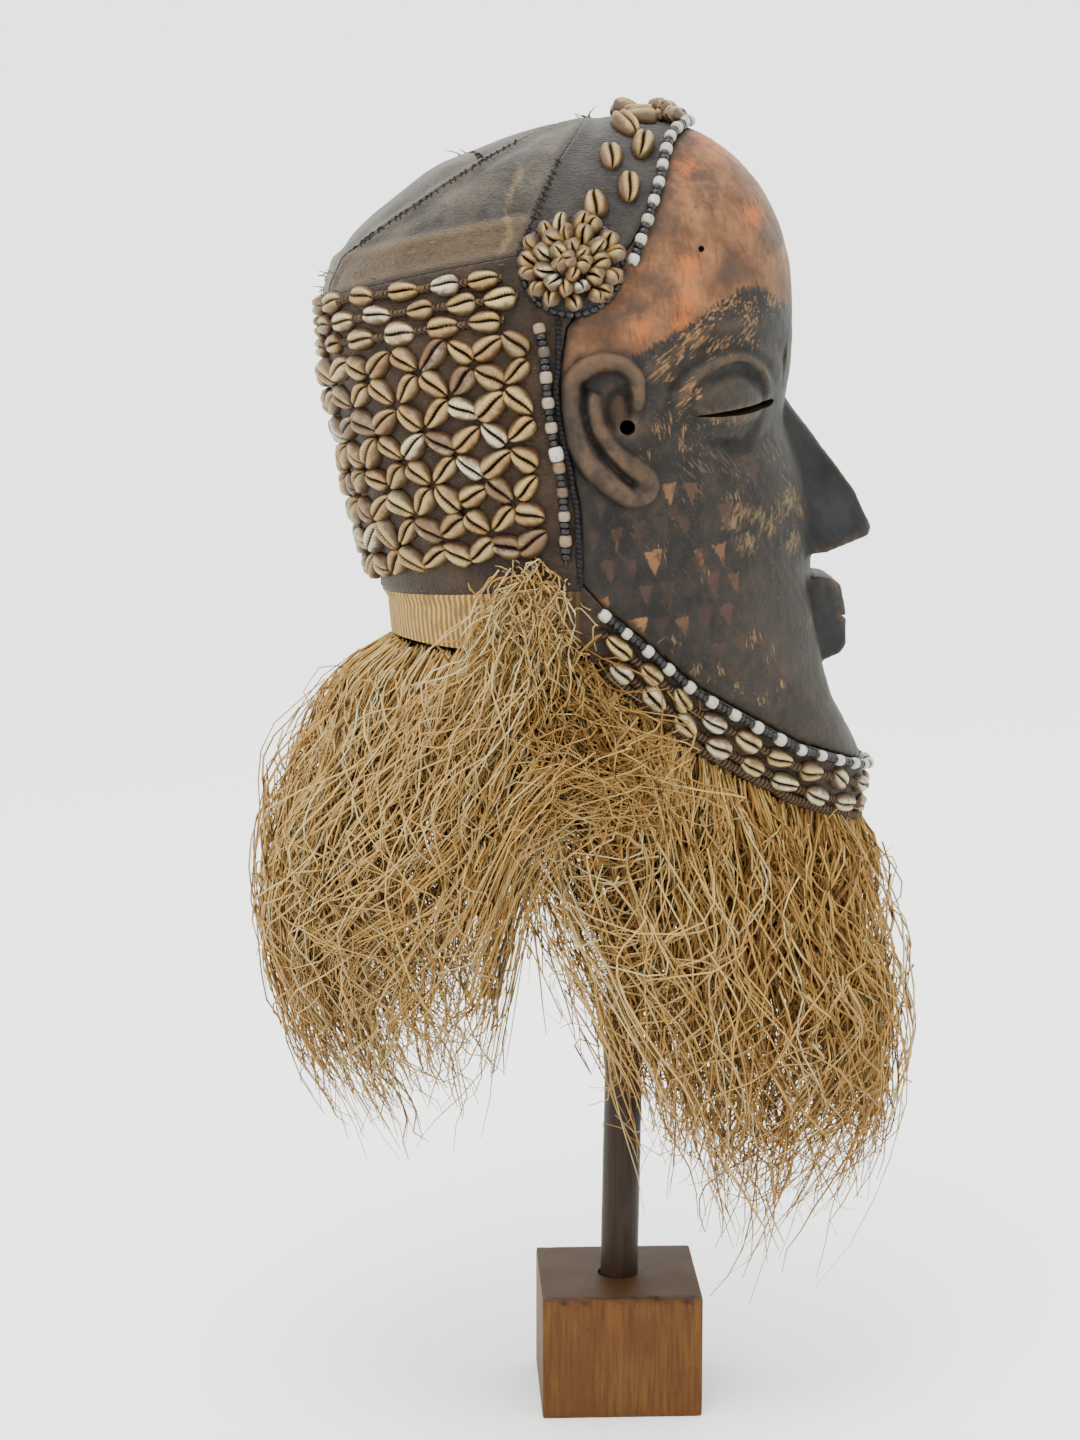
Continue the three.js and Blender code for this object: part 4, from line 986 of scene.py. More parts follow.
def face_finish():
    made, tree, surface = new_finish("painted_carved_wood", 0.5, 0.13)
    fibre = grain(tree, 3.2, stretch=(1, 1, 7), detail=6)
    cloud = grain(tree, 17, detail=4, shift=3.0)
    blotch = grain(tree, 7, detail=5, shift=6.0)
    speck = grain(tree, 1.3, detail=3, shift=1.0)
    slant = grain(tree, 1.2, stretch=(1, 1, 14), detail=4, turn=(-40, 0, 0))
    rising = grain(tree, 1.5, stretch=(1, 1, 12), detail=5, turn=(50, 0, 0), shift=9.0)
    pocked = grain(tree, 0.8, detail=3, shift=12.0)
    torn = grain(tree, 2.1, stretch=(1, 1, 5), detail=6, rough=0.7, turn=(30, 0, 0), shift=2.0)
    upright = grain(tree, 1.7, stretch=(1, 1, 6), detail=6, rough=0.7, turn=(-12, 0, 0), shift=5.0)
    dark = shades(tree, cloud, (0.3, (34, 32, 31)), (0.5, (45, 42, 40)), (0.68, (60, 53, 48)))
    dark = coat(tree, dark, (68, 53, 43), sums(tree, "MULTIPLY", step_up(tree, blotch, 0.5, 0.68), 0.7))
    dark = coat(tree, dark, (34, 30, 29), sums(tree, "MULTIPLY", step_up(tree, fibre, 0.52, 0.72), 0.8))
    # Painted light from below: the dark paint turns a paler grey-brown towards the jaw.
    dark = coat(tree, dark, (84, 74, 66), sums(tree, "MULTIPLY", noted(tree, "jaw"), span(tree, blotch, -0.1, 0.9)))
    dark = coat(tree, dark, (112, 88, 68), sums(tree, "MULTIPLY", step_up(tree, pocked, 0.6, 0.72), 0.55))
    dark = coat(tree, dark, (24, 21, 21), sums(tree, "MULTIPLY", step_up(tree, speck, 0.58, 0.7), 0.6))
    lines = worn_through(tree, slant, "scratch", 0.13, 0.64, 0.76)
    dark = coat(tree, dark, (122, 98, 76), sums(tree, "MULTIPLY", lines, 0.65))
    worn = worn_through(tree, torn, "tan", 0.26, 0.64, 0.82)
    dark = coat(tree, dark, (146, 118, 80), sums(tree, "MULTIPLY", worn, 0.75))
    worn = worn_through(tree, upright, "scrape", 0.2, 0.68, 0.78)
    dark = coat(tree, dark, (162, 126, 84), sums(tree, "MULTIPLY", worn, 0.8))
    worn = worn_through(tree, rising, "brow", 0.2, 0.66, 0.78)
    dark = coat(tree, dark, (168, 124, 80), sums(tree, "MULTIPLY", worn, 0.85))
    ragged = sums(tree, "MULTIPLY", sums(tree, "SUBTRACT", torn, 0.5), 0.8)
    mark = step_up(tree, sums(tree, "ADD", noted(tree, "marks"), ragged), 0.46, 0.58)
    chance = noted(tree, "mark_chance")
    mark_colour = shades(tree, chance, (0.0, (66, 52, 46)), (0.45, (88, 62, 54)), (0.7, (112, 78, 58)),
                         (0.95, (168, 118, 74)))
    shown = sums(tree, "MULTIPLY", mark, span(tree, chance, 0.3, 1.0))
    holes = sums(tree, "SUBTRACT", 1.0, sums(tree, "MULTIPLY", step_up(tree, blotch, 0.5, 0.62), 0.75))
    dark = coat(tree, dark, mark_colour, sums(tree, "MULTIPLY", shown, holes))
    fore = shades(tree, cloud, (0.3, (100, 68, 48)), (0.5, (138, 94, 64)), (0.7, (178, 123, 82)))
    fore = coat(tree, fore, (100, 66, 46), sums(tree, "MULTIPLY", step_up(tree, fibre, 0.5, 0.72), 0.8))
    glow = sums(tree, "ADD", sums(tree, "MULTIPLY", noted(tree, "orange"), 0.4), upright)
    fore = coat(tree, fore, (214, 116, 56), sums(tree, "MULTIPLY", step_up(tree, glow, 0.64, 0.98), 0.8))
    film = sums(tree, "ADD", sums(tree, "MULTIPLY", noted(tree, "grey"), 0.34), blotch)
    fore = coat(tree, fore, (84, 68, 58), sums(tree, "MULTIPLY", step_up(tree, film, 0.58, 0.92), 0.8))
    fore = coat(tree, fore, (74, 54, 44), sums(tree, "MULTIPLY", step_up(tree, speck, 0.66, 0.78), 0.8))
    edge = sums(tree, "ADD", sums(tree, "MULTIPLY", sums(tree, "SUBTRACT", upright, 0.5), 0.5),
                sums(tree, "MULTIPLY", sums(tree, "SUBTRACT", blotch, 0.5), 0.2))
    skin = coat(tree, fore, dark, step_up(tree, sums(tree, "ADD", noted(tree, "paint"), edge), 0.46, 0.56))
    brown = shades(tree, blotch, (0.35, (52, 44, 39)), (0.5, (72, 61, 54)), (0.7, (104, 82, 68)))
    brown = coat(tree, brown, (36, 31, 30), sums(tree, "MULTIPLY", step_up(tree, speck, 0.54, 0.7), 0.6))
    brown = coat(tree, brown, (134, 106, 84), sums(tree, "MULTIPLY", step_up(tree, pocked, 0.6, 0.74), 0.5))
    skin = coat(tree, skin, brown, sums(tree, "MULTIPLY", noted(tree, "ear"), 0.85))
    black = shades(tree, cloud, (0.35, (28, 28, 30)), (0.7, (54, 54, 58)))
    skin = coat(tree, skin, black, sums(tree, "MULTIPLY", noted(tree, "features"), 0.85))
    skin = coat(tree, skin, (124, 96, 70), sums(tree, "MULTIPLY", noted(tree, "ridge"), span(tree, blotch, -0.2, 0.9)))
    # Near black in the hollows: dark patina, and painted shade where the relief dips.
    skin = coat(tree, skin, (30, 25, 24), sums(tree, "MULTIPLY", noted(tree, "groove"), 0.85))
    skin = coat(tree, skin, (28, 25, 24), sums(tree, "MULTIPLY", noted(tree, "edge"), 0.8))
    raw = shades(tree, fibre, (0.35, (60, 44, 34)), (0.65, (92, 70, 52)))
    skin = coat(tree, skin, raw, noted(tree, "inside"))
    height = sums(tree, "ADD", sums(tree, "MULTIPLY", fibre, 0.4), sums(tree, "MULTIPLY", blotch, 0.7))
    height = sums(tree, "ADD", height, sums(tree, "MULTIPLY", slant, 0.3))
    height = sums(tree, "ADD", height, sums(tree, "MULTIPLY", speck, 0.5))
    connect(tree, surface, Base_Color=skin, Normal=relief(tree, height, 0.4),
            Roughness=span(tree, blotch, 0.42, 0.68))
    return made


piece(face, face_finish(), "carved_wood", "carved_face", crease=40)

# %% [markdown]
# ## The sewn hood
# The hood is thick cloth over the head form, sewn from a middle strip, two crown panels, a band
# along the wood and a back cloth, with a ribbed band round the neck. Cloth stretched over a form
# has no free folds to simulate, so each piece is cut from a fine shell with the same lines as the
# CAD. Its edges are then turned up a little at the seams, and slack wrinkles run between them.

# %% Cloth lines
cloth_thickness, neck_band_thickness = 3.5, 7.0
gap, seam_gap = 0.3, 0.15
seam_line = [[-14, cut_top], [-19, 637], [-32, 618], [-40, 601], [-47, 586], [-52, 574]]
hem_line = [[-160, 551], [-135, 556], [-93, 566], [-52, 574], [-17.5, 562]]
rim_line = [[-160, 413], [-112, 414], [-60, 419], [-24, 421]]
neck_lower_line = [[-160, 395], [-60, 390], [-20, 380]]
neck_band_slope = 4.0
chin_band_depth, chin_band_front_depth, chin_front_start = 30.0, 25.0, 90.0
strip_line = [[-170, 25], [-133, 26], [-118, 33], [-97, 36], [-74, 32], [-50, 23], [-19, 4], [40, 4]]


def shifted(line, forward, up):
    return [[f + forward, u + up] for f, u in line]


def plumb_prism(name, spread):
    """A block through the whole height over the crown's middle strip."""
    right = [[f, s + spread] for f, s in strip_line]
    left = [[f, -s - spread] for f, s in strip_line[::-1]]
    rim = right + left
    count = len(rim)
    rows = [place(f, s, u) for u in (0, 700) for f, s in rim]
    faces = [(i, (i + 1) % count, (i + 1) % count + count, i + count) for i in range(count)]
    made = make(name, rows, faces + [range(count)[::-1], range(count, 2 * count)])
    mesh = bmesh.new()
    mesh.from_mesh(made.data)
    bmesh.ops.recalc_face_normals(mesh, faces=mesh.faces)
    mesh.to_mesh(made.data)
    mesh.free()
    return made


def shell(name, thickness, count, *cuts):
    """A shell of the head form, kept where every cutting block agrees."""
    made = head_form(name, 0, 2 * count, count)
    inner = head_form("inner", thickness, 2 * count, count)
    cut(made, inner)
    drop(inner)
    for tool, how in cuts:
        cut(made, tool, how)
    return made


def sheet_area(made):
    """The area of one face of a cloth slab in square millimetres."""
    return sum(face.area for face in made.data.polygons) / 2 / MM ** 2


crown_block = side_prism("crown_block", shifted(seam_line[:-1], -seam_gap, 0)
                         + shifted(seam_line[-1:], -seam_gap, seam_gap)
                         + shifted(hem_line[:-2][::-1], 0, seam_gap) + [[-160, cut_top]])
band_block = side_prism("band_block", shifted(hair_line[:-1], -gap, 0) + shifted(hair_line[-1:], -gap, seam_gap)
                        + shifted(seam_line[-1:], seam_gap, seam_gap)
                        + shifted(seam_line[:-1][::-1], seam_gap, 0))
back_block = side_prism("back_block", shifted(hem_line[:-1], 0, -seam_gap)
                        + shifted(hem_line[-1:], -gap, -seam_gap) + shifted(cheek_line[1:-1], -gap, 0)
                        + shifted(rim_line[-1:], -gap, seam_gap) + shifted(rim_line[:-1][::-1], 0, seam_gap))
neck_block = side_prism("neck_block", shifted(rim_line, 0, -seam_gap)
                        + shifted(neck_lower_line[::-1], -neck_band_slope, 0))
chin_lower = [[f, u - (chin_band_front_depth if f > chin_front_start else chin_band_depth)]
              for f, u in jaw_line + [jaw_end]]
chin_block = side_prism("chin_block", shifted(jaw_line + [jaw_end], 0, -gap) + chin_lower[::-1])
narrow_strip, wide_strip = plumb_prism("narrow_strip", -seam_gap), plumb_prism("wide_strip", seam_gap)
right_half, left_half = box("right_half", (-150, -300, 0), (0, 300, 700)), box("left_half", (0, -300, 0), (150, 300, 700))
middle_strip = shell("crown_middle_strip_cloth", cloth_thickness, 200, (crown_block, "INTERSECT"),
                     (narrow_strip, "INTERSECT"))
panels = {}
for hand, half in (("right", right_half), ("left", left_half)):
    panels[hand] = shell(f"crown_panel_{hand}_cloth", cloth_thickness, 180, (crown_block, "INTERSECT"),
                         (wide_strip, "DIFFERENCE"), (half, "INTERSECT"))
front_band = shell("crown_front_band_cloth", cloth_thickness, 220, (band_block, "INTERSECT"))
back_cloth = shell("back_cloth_cloth", cloth_thickness, 160, (back_block, "INTERSECT"))
neck_band = shell("neck_band_cloth", neck_band_thickness, 160, (neck_block, "INTERSECT"))
chin_band = shell("chin_band_cloth", cloth_thickness, 160, (chin_block, "INTERSECT"))
drop(crown_block, band_block, back_block, neck_block, chin_block, narrow_strip, wide_strip, right_half, left_half)
for one in (middle_strip, *panels.values(), front_band, back_cloth, neck_band, chin_band):
    print(one.name, "covers", round(sheet_area(one)), "square mm")

# %% [markdown]
# ## Seams, wrinkles and weave
# Only the outer face of each shell is moved, so the lining stays clear of the rod. Near a seam the
# cloth is pulled in and its turned edge stands up again. The weave itself is far too fine for
# mesh: it is a bump of small cells, a little over a millimetre wide. On the neck band a number
# that counts millimetres round the neck drives the ribs.

# %% Cloth relief
hem_depth = 18.0
nape_axis, row_rise = -35.0, 10.0


def nape_turn(spots):
    """The angle from the middle of the nape, round an upright axis."""
    back, side = spots[:, 1] + nape_axis, spots[:, 0]
    return np.arctan2(np.abs(side), back)


def outer_share(spots, thickness):
    return np.clip((head_level(spots) - 1 + 1.5 * thickness / 90) / (thickness / 90), 0, 1)


def shape_cloth(made, seams, slack, seed, thickness=cloth_thickness):
    """Wrinkles and turned seam edges. Each seam is a line and the view that it is drawn in."""
    spots = points_of(made)
    f, s, z = -spots[:, 1], np.abs(spots[:, 0]), spots[:, 2]
    nearest = np.full(len(spots), 99.0)
    for line, view in seams:
        nearest = np.minimum(nearest, near_line(f, z if view == "side" else s, line)[0])
    wrinkle = slack * (wander(spots, 26, seed) + 0.5 * wander(spots * [1, 1, 0.4], 11, seed + 1))
    rise = wrinkle * np.clip(nearest / 8, 0.1, 1) + 0.9 * hill(nearest - 1.6, 1.6) - 0.5 * hill(nearest - 6, 3)
    if made.name.startswith("crown") and "front_band" not in made.name:
        hem = near_line(f, z, hem_line[:4])[0]
        rise += 1.0 * hill(hem - hem_depth + 2.5, 2.6) - 0.7 * hill(hem - hem_depth - 2.5, 3.0)
        sag = wander(spots, 40, 49) + 1.2
        rise += 0.9 * sag * hill(hem - hem_depth - 26, 12) * np.clip(nearest / 14, 0, 1)
        note(made, "hem", np.clip(0.5 + (hem_depth - hem + 1.5 * wander(spots, 18, 47)) / 10, 0, 1))
        # On the hem's fold a pale line, wear and painted highlight, and just above it a painted shadow in the dip.
        note(made, "fold", hill(hem - hem_depth + 2.0, 1.4))
        note(made, "fold_shadow", hill(hem - hem_depth - 1.6, 1.8))
        worn_line = near_line(f, z, [[-50, 612], [-54, 606], [-57, 597], [-57, 583], [-61, 575]])[0]
        note(made, "streak", hill(worn_line, 2.6) * (nearest > 1))
    move_points(made, spots + (rise * outer_share(spots, thickness))[:, None] * head_normal(spots))
    note(made, "seam", hill(nearest, 2.2))


side_seams, top_seams = (seam_line, "side"), (strip_line, "top")
hem_seam = (hem_line, "side")
shape_cloth(middle_strip, (side_seams, top_seams, hem_seam), 0.35, 31)
for hand, seed in (("right", 33), ("left", 35)):
    shape_cloth(panels[hand], (side_seams, top_seams, hem_seam), 0.45, seed)
shape_cloth(front_band, (side_seams, (hair_line, "side")), 0.5, 37)
shape_cloth(back_cloth, (hem_seam, (cheek_line, "side"), (rim_line, "side")), 0.4, 39)
shape_cloth(neck_band, ((rim_line, "side"),), 0.3, 41, neck_band_thickness)
shape_cloth(chin_band, ((jaw_line + [jaw_end], "side"),), 0.4, 43)
spots = points_of(neck_band)
note(neck_band, "run", nape_turn(spots) * 78)
# The band's front end, tucked under the jaw and the tufts, is marked for painted shade.
note(neck_band, "end", np.clip((40 - spots[:, 1]) / 12, 0, 1))
print("cloth pieces are shaped")


# %% Cloth finishes
def cells(tree, size, stretch=(1, 1, 1), turn=(0, 0, 0), out="Distance"):
    """Small cells of this size, such as threads of a weave."""
    spot = node(tree, "ShaderNodeTexCoord").outputs["Object"]
    moved = node(tree, "ShaderNodeMapping", {
        "Vector": spot, "Scale": [size * MM * s for s in stretch], "Rotation": [math.radians(t) for t in turn],
    }, vector_type="TEXTURE")
    return node(tree, "ShaderNodeTexVoronoi", {"Vector": moved.outputs[0], "Scale": 1.0}).outputs[out]


def cloth_finish(name, stops, worn, stain, weave, seam_colour, lighter=None):
    made, tree, surface = new_finish(name, 0.88, 0.2)
    surface.inputs["Sheen Weight"].default_value = 0.2
    surface.inputs["Sheen Roughness"].default_value = 0.5
    cloud = grain(tree, 22, detail=5)
    blotch = grain(tree, 6, detail=5, shift=4.0)
    thread = cells(tree, weave, stretch=(1, 1.6, 0.8))
    weft = grain(tree, 0.9, stretch=(1, 9, 0.8), detail=3, shift=1.0)
    streak = grain(tree, 2.0, stretch=(1, 5, 1), detail=4, turn=(20, 0, 0))
    colour = shades(tree, cloud, *zip((0.3, 0.5, 0.7), stops))
    colour = coat(tree, colour, stain, sums(tree, "MULTIPLY", step_up(tree, blotch, 0.5, 0.66), 0.6))
    if lighter:
        hem = sums(tree, "ADD", noted(tree, "hem"), sums(tree, "MULTIPLY", sums(tree, "SUBTRACT", blotch, 0.5), 0.9))
        colour = coat(tree, colour, lighter, sums(tree, "MULTIPLY", step_up(tree, hem, 0.38, 0.66), 0.75))
        # A pale line on the hem's fold, wear and painted highlight, then a painted shadow line just above it.
        colour = coat(tree, colour, (144, 118, 82), sums(tree, "MULTIPLY", noted(tree, "fold"), 0.28))
        colour = coat(tree, colour, (48, 40, 36), sums(tree, "MULTIPLY", noted(tree, "fold_shadow"), 0.55))
        pale = worn_through(tree, blotch, "streak", 0.4, 0.68, 1.0)
        colour = coat(tree, colour, (164, 138, 94), sums(tree, "MULTIPLY", pale, 0.6))
    colour = coat(tree, colour, worn, sums(tree, "MULTIPLY", step_up(tree, streak, 0.58, 0.76), 0.5))
    colour = coat(tree, colour, seam_colour, sums(tree, "MULTIPLY", noted(tree, "seam"), 0.6))
    colour = coat(tree, colour, (34, 27, 22), sums(tree, "MULTIPLY", step_up(tree, weft, 0.52, 0.7), 0.4))
    colour = coat(tree, colour, (30, 25, 23), sums(tree, "MULTIPLY", step_up(tree, thread, 0.5, 0.85), 0.35))
    fine = sums(tree, "ADD", sums(tree, "MULTIPLY", thread, -0.45), weft)
    bump = relief(tree, sums(tree, "ADD", fine, sums(tree, "MULTIPLY", blotch, 0.8)), 0.45)
    connect(tree, surface, Base_Color=colour, Normal=bump)
    return made


crown_finish = cloth_finish("worn_crown_cloth", ((52, 44, 37), (84, 74, 63), (114, 102, 85)), (146, 122, 84),
                            (84, 88, 94), 1.3, (42, 32, 26), lighter=(104, 82, 57))
band_cloth = cloth_finish("dark_crown_band_cloth", ((48, 43, 41), (66, 59, 55), (82, 74, 66)), (104, 88, 68),
                          (70, 72, 78), 1.3, (40, 30, 25))
brown_finish = cloth_finish("dark_brown_cloth", ((54, 40, 30), (74, 55, 40), (94, 72, 52)), (116, 90, 62),
                            (48, 36, 28), 1.2, (40, 30, 24))


def rib_finish():
    made, tree, surface = new_finish("ribbed_neck_band", 0.85, 0.25)
    blotch = grain(tree, 9, detail=5)
    fibre = grain(tree, 0.8, stretch=(1, 1, 9), detail=3, shift=2.0)
    run = sums(tree, "ADD", noted(tree, "run"), sums(tree, "MULTIPLY", blotch, 1.6))
    wave = sums(tree, "SINE", sums(tree, "MULTIPLY", run, 2 * math.pi / 3.2))
    rib = span(tree, wave, 0.0, 1.0)
    rib.node.inputs["From Min"].default_value = -1.0
    # The colour follows the ribs: painted shade in the troughs and painted highlight on the crests.
    colour = shades(tree, rib, (0.1, (166, 124, 66)), (0.45, (212, 166, 92)), (0.8, (240, 200, 122)))
    colour = coat(tree, colour, (150, 118, 78), sums(tree, "MULTIPLY", step_up(tree, blotch, 0.52, 0.68), 0.6))
    colour = coat(tree, colour, (128, 100, 66), sums(tree, "MULTIPLY", step_up(tree, fibre, 0.6, 0.75), 0.6))
    # Painted shade: the band's front end turns dark brown.
    colour = coat(tree, colour, (70, 52, 38), sums(tree, "MULTIPLY", noted(tree, "end"), 0.9))
    height = sums(tree, "ADD", rib, sums(tree, "MULTIPLY", fibre, 0.25))
    connect(tree, surface, Base_Color=colour, Normal=relief(tree, height, 0.9))
    return made


rib_cloth = rib_finish()
flat_sizes = {}
for one, finish, slot, cad, width in (
    (middle_strip, crown_finish, "crown_cloth", "crown_middle_strip", 72),
    (panels["right"], crown_finish, "crown_cloth", "crown_panel_right", 60),
    (panels["left"], crown_finish, "crown_cloth", "crown_panel_left", 60),
    (front_band, band_cloth, "crown_cloth", "crown_front_band", 48),
    (back_cloth, brown_finish, "brown_cloth", "back_cloth", 150),
    (neck_band, rib_cloth, "woven_band", "neck_band", 26),
    (chin_band, brown_finish, "brown_cloth", "chin_band", 32),
):
    area = sheet_area(one)
    piece(one, finish, slot, cad, crease=55)
    size = (width * MM, area * MM ** 2 / (width * MM))
    flat_sizes[cad] = [round(x * 1000) for x in size]
print("flat sizes in mm:", flat_sizes)

# %% [markdown]
# ## Cowrie shells
# A cowrie is egg shaped, with a long slit between two toothed lips on its flat side. Here the
# shells are sewn on with that side out. One shell mesh is built from cross-sections: across each
# one the points lie closer together round the slit, where the lips curl in. Copies are then laid
# along every row, each a little different in size, turn and tone.

# %% One cowrie
shell_across = np.array([0, 0.08, 0.15, 0.26, 0.42, 0.62, 0.82, 0.96, 1.0, 0.8])
shell_lift = np.array([0.5, 0.6, 0.85, 0.98, 1.0, 0.9, 0.64, 0.32, 0.0, -0.16])
shell_stations = 13


def cowrie(blunt, taper):
    """Points of one shell, as shares of its half length, half width and height, and its faces."""
    ring_across = np.concatenate([shell_across, [0], -shell_across[:0:-1]])
    ring_lift = np.concatenate([shell_lift, [-0.2], shell_lift[:0:-1]])
    turn = np.linspace(0.06, np.pi - 0.06, shell_stations)
    points, marks = [], []
    for t in turn:
        along = -np.cos(t)
        full = np.sin(t) ** blunt * (1 - taper * along)
        bow = 0.09 * math.sin(along * 2.4)
        groove = np.clip(1.15 - 0.3 * abs(along) ** 4, 0, 1)
        lift = np.where(np.abs(ring_across) < 0.3, 0.97 - (0.97 - ring_lift) * groove, ring_lift)
        across = ring_across * full + bow * full * (np.abs(ring_across) < 0.8)
        points.append(np.stack([0 * across + along * (1 + 0.03 * lift), across, lift * full ** 0.8], -1))
        marks.append(np.stack([0 * across + along, ring_across, ring_lift], -1))
    count = len(ring_across)
    faces = []
    for row in range(shell_stations - 1):
        for i in range(count):
            a, b = row * count + i, row * count + (i + 1) % count
            faces.append((a, b, b + count, a + count))
    last = (shell_stations - 1) * count
    faces += [tuple(range(count))[::-1], tuple(range(last, last + count))]
    return np.vstack(points), faces, np.vstack(marks)


round_shell, cowrie_faces, cowrie_marks = cowrie(0.6, 0.17)
pointed_shell = cowrie(0.74, 0.22)[0]
shell_draw = np.random.default_rng(7)


def lay_shells(name, spots, normals, ways, length, width, rise, lift=0.6, twist=7, pale=0.0, shape=round_shell):
    """Shells at these spots, each lying along its own way on the surface. Pale lifts their tones."""
    parts, marks = [], []
    for spot, normal, way in zip(spots, normals, ways):
        spin = math.radians(shell_draw.normal(0, twist))
        along = unit(way - normal * (way @ normal))
        side = np.cross(normal, along)
        along = along * math.cos(spin) + side * math.sin(spin)
        lean = unit(normal + 0.07 * shell_draw.normal(size=3))
        along = unit(along - lean * (along @ lean))
        axes = np.stack([along, np.cross(lean, along), lean])
        size = np.array([length / 2, width / 2, rise]) * shell_draw.normal(1, 0.075, 3)
        flip = shell_draw.choice([-1, 1])
        points = shape * size * [flip, flip, 1]
        parts.append((points @ axes + spot + normal * lift, cowrie_faces))
        tone = np.full((len(points), 1), pale + (1 - pale) * shell_draw.random())
        marks.append(np.hstack([cowrie_marks, tone]))
    made = bundle(name, parts)
    marks = np.vstack(marks)
    for label, values in zip(("along", "across", "lift", "tone"), marks.T):
        note(made, label, values)
    return made


print("a cowrie has", sum(len(f) - 2 for f in cowrie_faces), "triangles")


# %% Cowrie finish
def cowrie_finish():
    made, tree, surface = new_finish("old_cowrie_shell", 0.38, 0.3)
    surface.inputs["Coat Weight"].default_value = 0.06
    surface.inputs["Coat Roughness"].default_value = 0.25
    tone = noted(tree, "tone")
    blotch = grain(tree, 3.2, detail=4)
    speck = grain(tree, 0.7, detail=2, shift=2.0)
    side = noted(tree, "across")
    across = sums(tree, "ABSOLUTE", side)
    uneven = sums(tree, "MULTIPLY", sums(tree, "SUBTRACT", blotch, 0.5), 0.6)
    colour = shades(tree, tone, (0.0, (84, 60, 54)), (0.06, (116, 84, 62)), (0.2, (174, 134, 80)),
                    (0.5, (202, 164, 98)), (0.8, (188, 148, 86)), (0.92, (226, 200, 136)), (1.0, (240, 230, 200)))
    # A cream patch on one lip of each shell: part patina, part painted highlight.
    pale = step_up(tree, sums(tree, "ADD", sums(tree, "MULTIPLY", side, 0.34), blotch), 0.6, 0.8)
    colour = coat(tree, colour, (236, 212, 150), sums(tree, "MULTIPLY", pale, 0.5))
    # A brown stain, heavier on the other lip, where it also stands as painted shade.
    tan = step_up(tree, sums(tree, "SUBTRACT", blotch, sums(tree, "MULTIPLY", side, 0.3)), 0.5, 0.74)
    colour = coat(tree, colour, (150, 104, 54), sums(tree, "MULTIPLY", tan, 0.65))
    # The sides turn dark brown towards the cloth: painted shade where the shell curves under.
    rim = step_up(tree, sums(tree, "ADD", across, uneven), 0.46, 0.9)
    colour = coat(tree, colour, (84, 58, 36), sums(tree, "MULTIPLY", rim, 0.92))
    tips = step_up(tree, sums(tree, "ABSOLUTE", noted(tree, "along")), 0.72, 1.0)
    colour = coat(tree, colour, (120, 90, 60), sums(tree, "MULTIPLY", tips, 0.6))
    teeth = sums(tree, "SINE", sums(tree, "MULTIPLY", noted(tree, "along"), 30.0))
    near = sums(tree, "SUBTRACT", 1.0, step_up(tree, across, 0.2, 0.4))
    tooth = sums(tree, "MULTIPLY", step_up(tree, teeth, -0.2, 0.5), near)
    colour = coat(tree, colour, (112, 80, 52), sums(tree, "MULTIPLY", tooth, 0.6))
    slit = sums(tree, "SUBTRACT", 1.0, step_up(tree, across, 0.08, 0.18))
    colour = coat(tree, colour, (50, 36, 26), slit)
    colour = coat(tree, colour, (96, 70, 48), step_up(tree, speck, 0.68, 0.76))
    height = sums(tree, "ADD", sums(tree, "MULTIPLY", tooth, -0.8), sums(tree, "MULTIPLY", blotch, 0.5))
    connect(tree, surface, Base_Color=colour, Normal=relief(tree, height, 0.3),
            Roughness=span(tree, blotch, 0.3, 0.55))
    return made


shell_finish = cowrie_finish()
print("cowrie finish is ready")

# %% [markdown]
# ## Rows of cowries
# Three level rows lie under the crown, and eight zigzag rows fill the back. In the zigzag the
# shells of two rows meet four by four, like petals. Real sewing keeps an even count with small
# slips, so the places come from equal steps round the nape, and each shell lies between two of
# them. A twisted cord runs on between the shells of the level rows and of the chin rows.

# %% Twisted cords
def cord_finish(name, low, middle, high, dust):
    made, tree, surface = new_finish(name, 0.85, 0.2)
    blotch = grain(tree, 5, detail=4)
    wave = sums(tree, "SINE", sums(tree, "MULTIPLY", noted(tree, "run"), 2 * math.pi / 2.3))
    twist = span(tree, wave, 0.0, 1.0)
    twist.node.inputs["From Min"].default_value = -1.0
    # The colour follows the twist: painted shade in the grooves between the plies and painted highlight on their
    # crests.
    colour = shades(tree, twist, (0.1, low), (0.5, middle), (0.9, high))
    colour = coat(tree, colour, dust, sums(tree, "MULTIPLY", step_up(tree, blotch, 0.55, 0.7), 0.6))
    connect(tree, surface, Base_Color=colour, Normal=relief(tree, twist, 0.5))
    return made


def twisted_cord(name, spots, normals, radius, lift, finish, slot, seed):
    """A cord along places on the surface, a little uneven."""
    path = smooth_path(spots + lift * normals, max(20, int(len(spots) * 4)))
    path = path + 0.35 * np.stack([wander(path, 14, seed + k) for k in range(3)], -1)
    points, faces = tube(path, radius * (1 + 0.14 * wander(path, 7, seed + 5)), 8)
    made = make(name, points, faces)
    step = np.linalg.norm(np.diff(path, axis=0), axis=1).mean()
    run = np.repeat(np.arange(len(path)) * step, 8) + np.tile(np.arange(8) * 2.3 / 8, len(path))
    note(made, "run", run)
    return piece(made, finish, slot, crease=60)


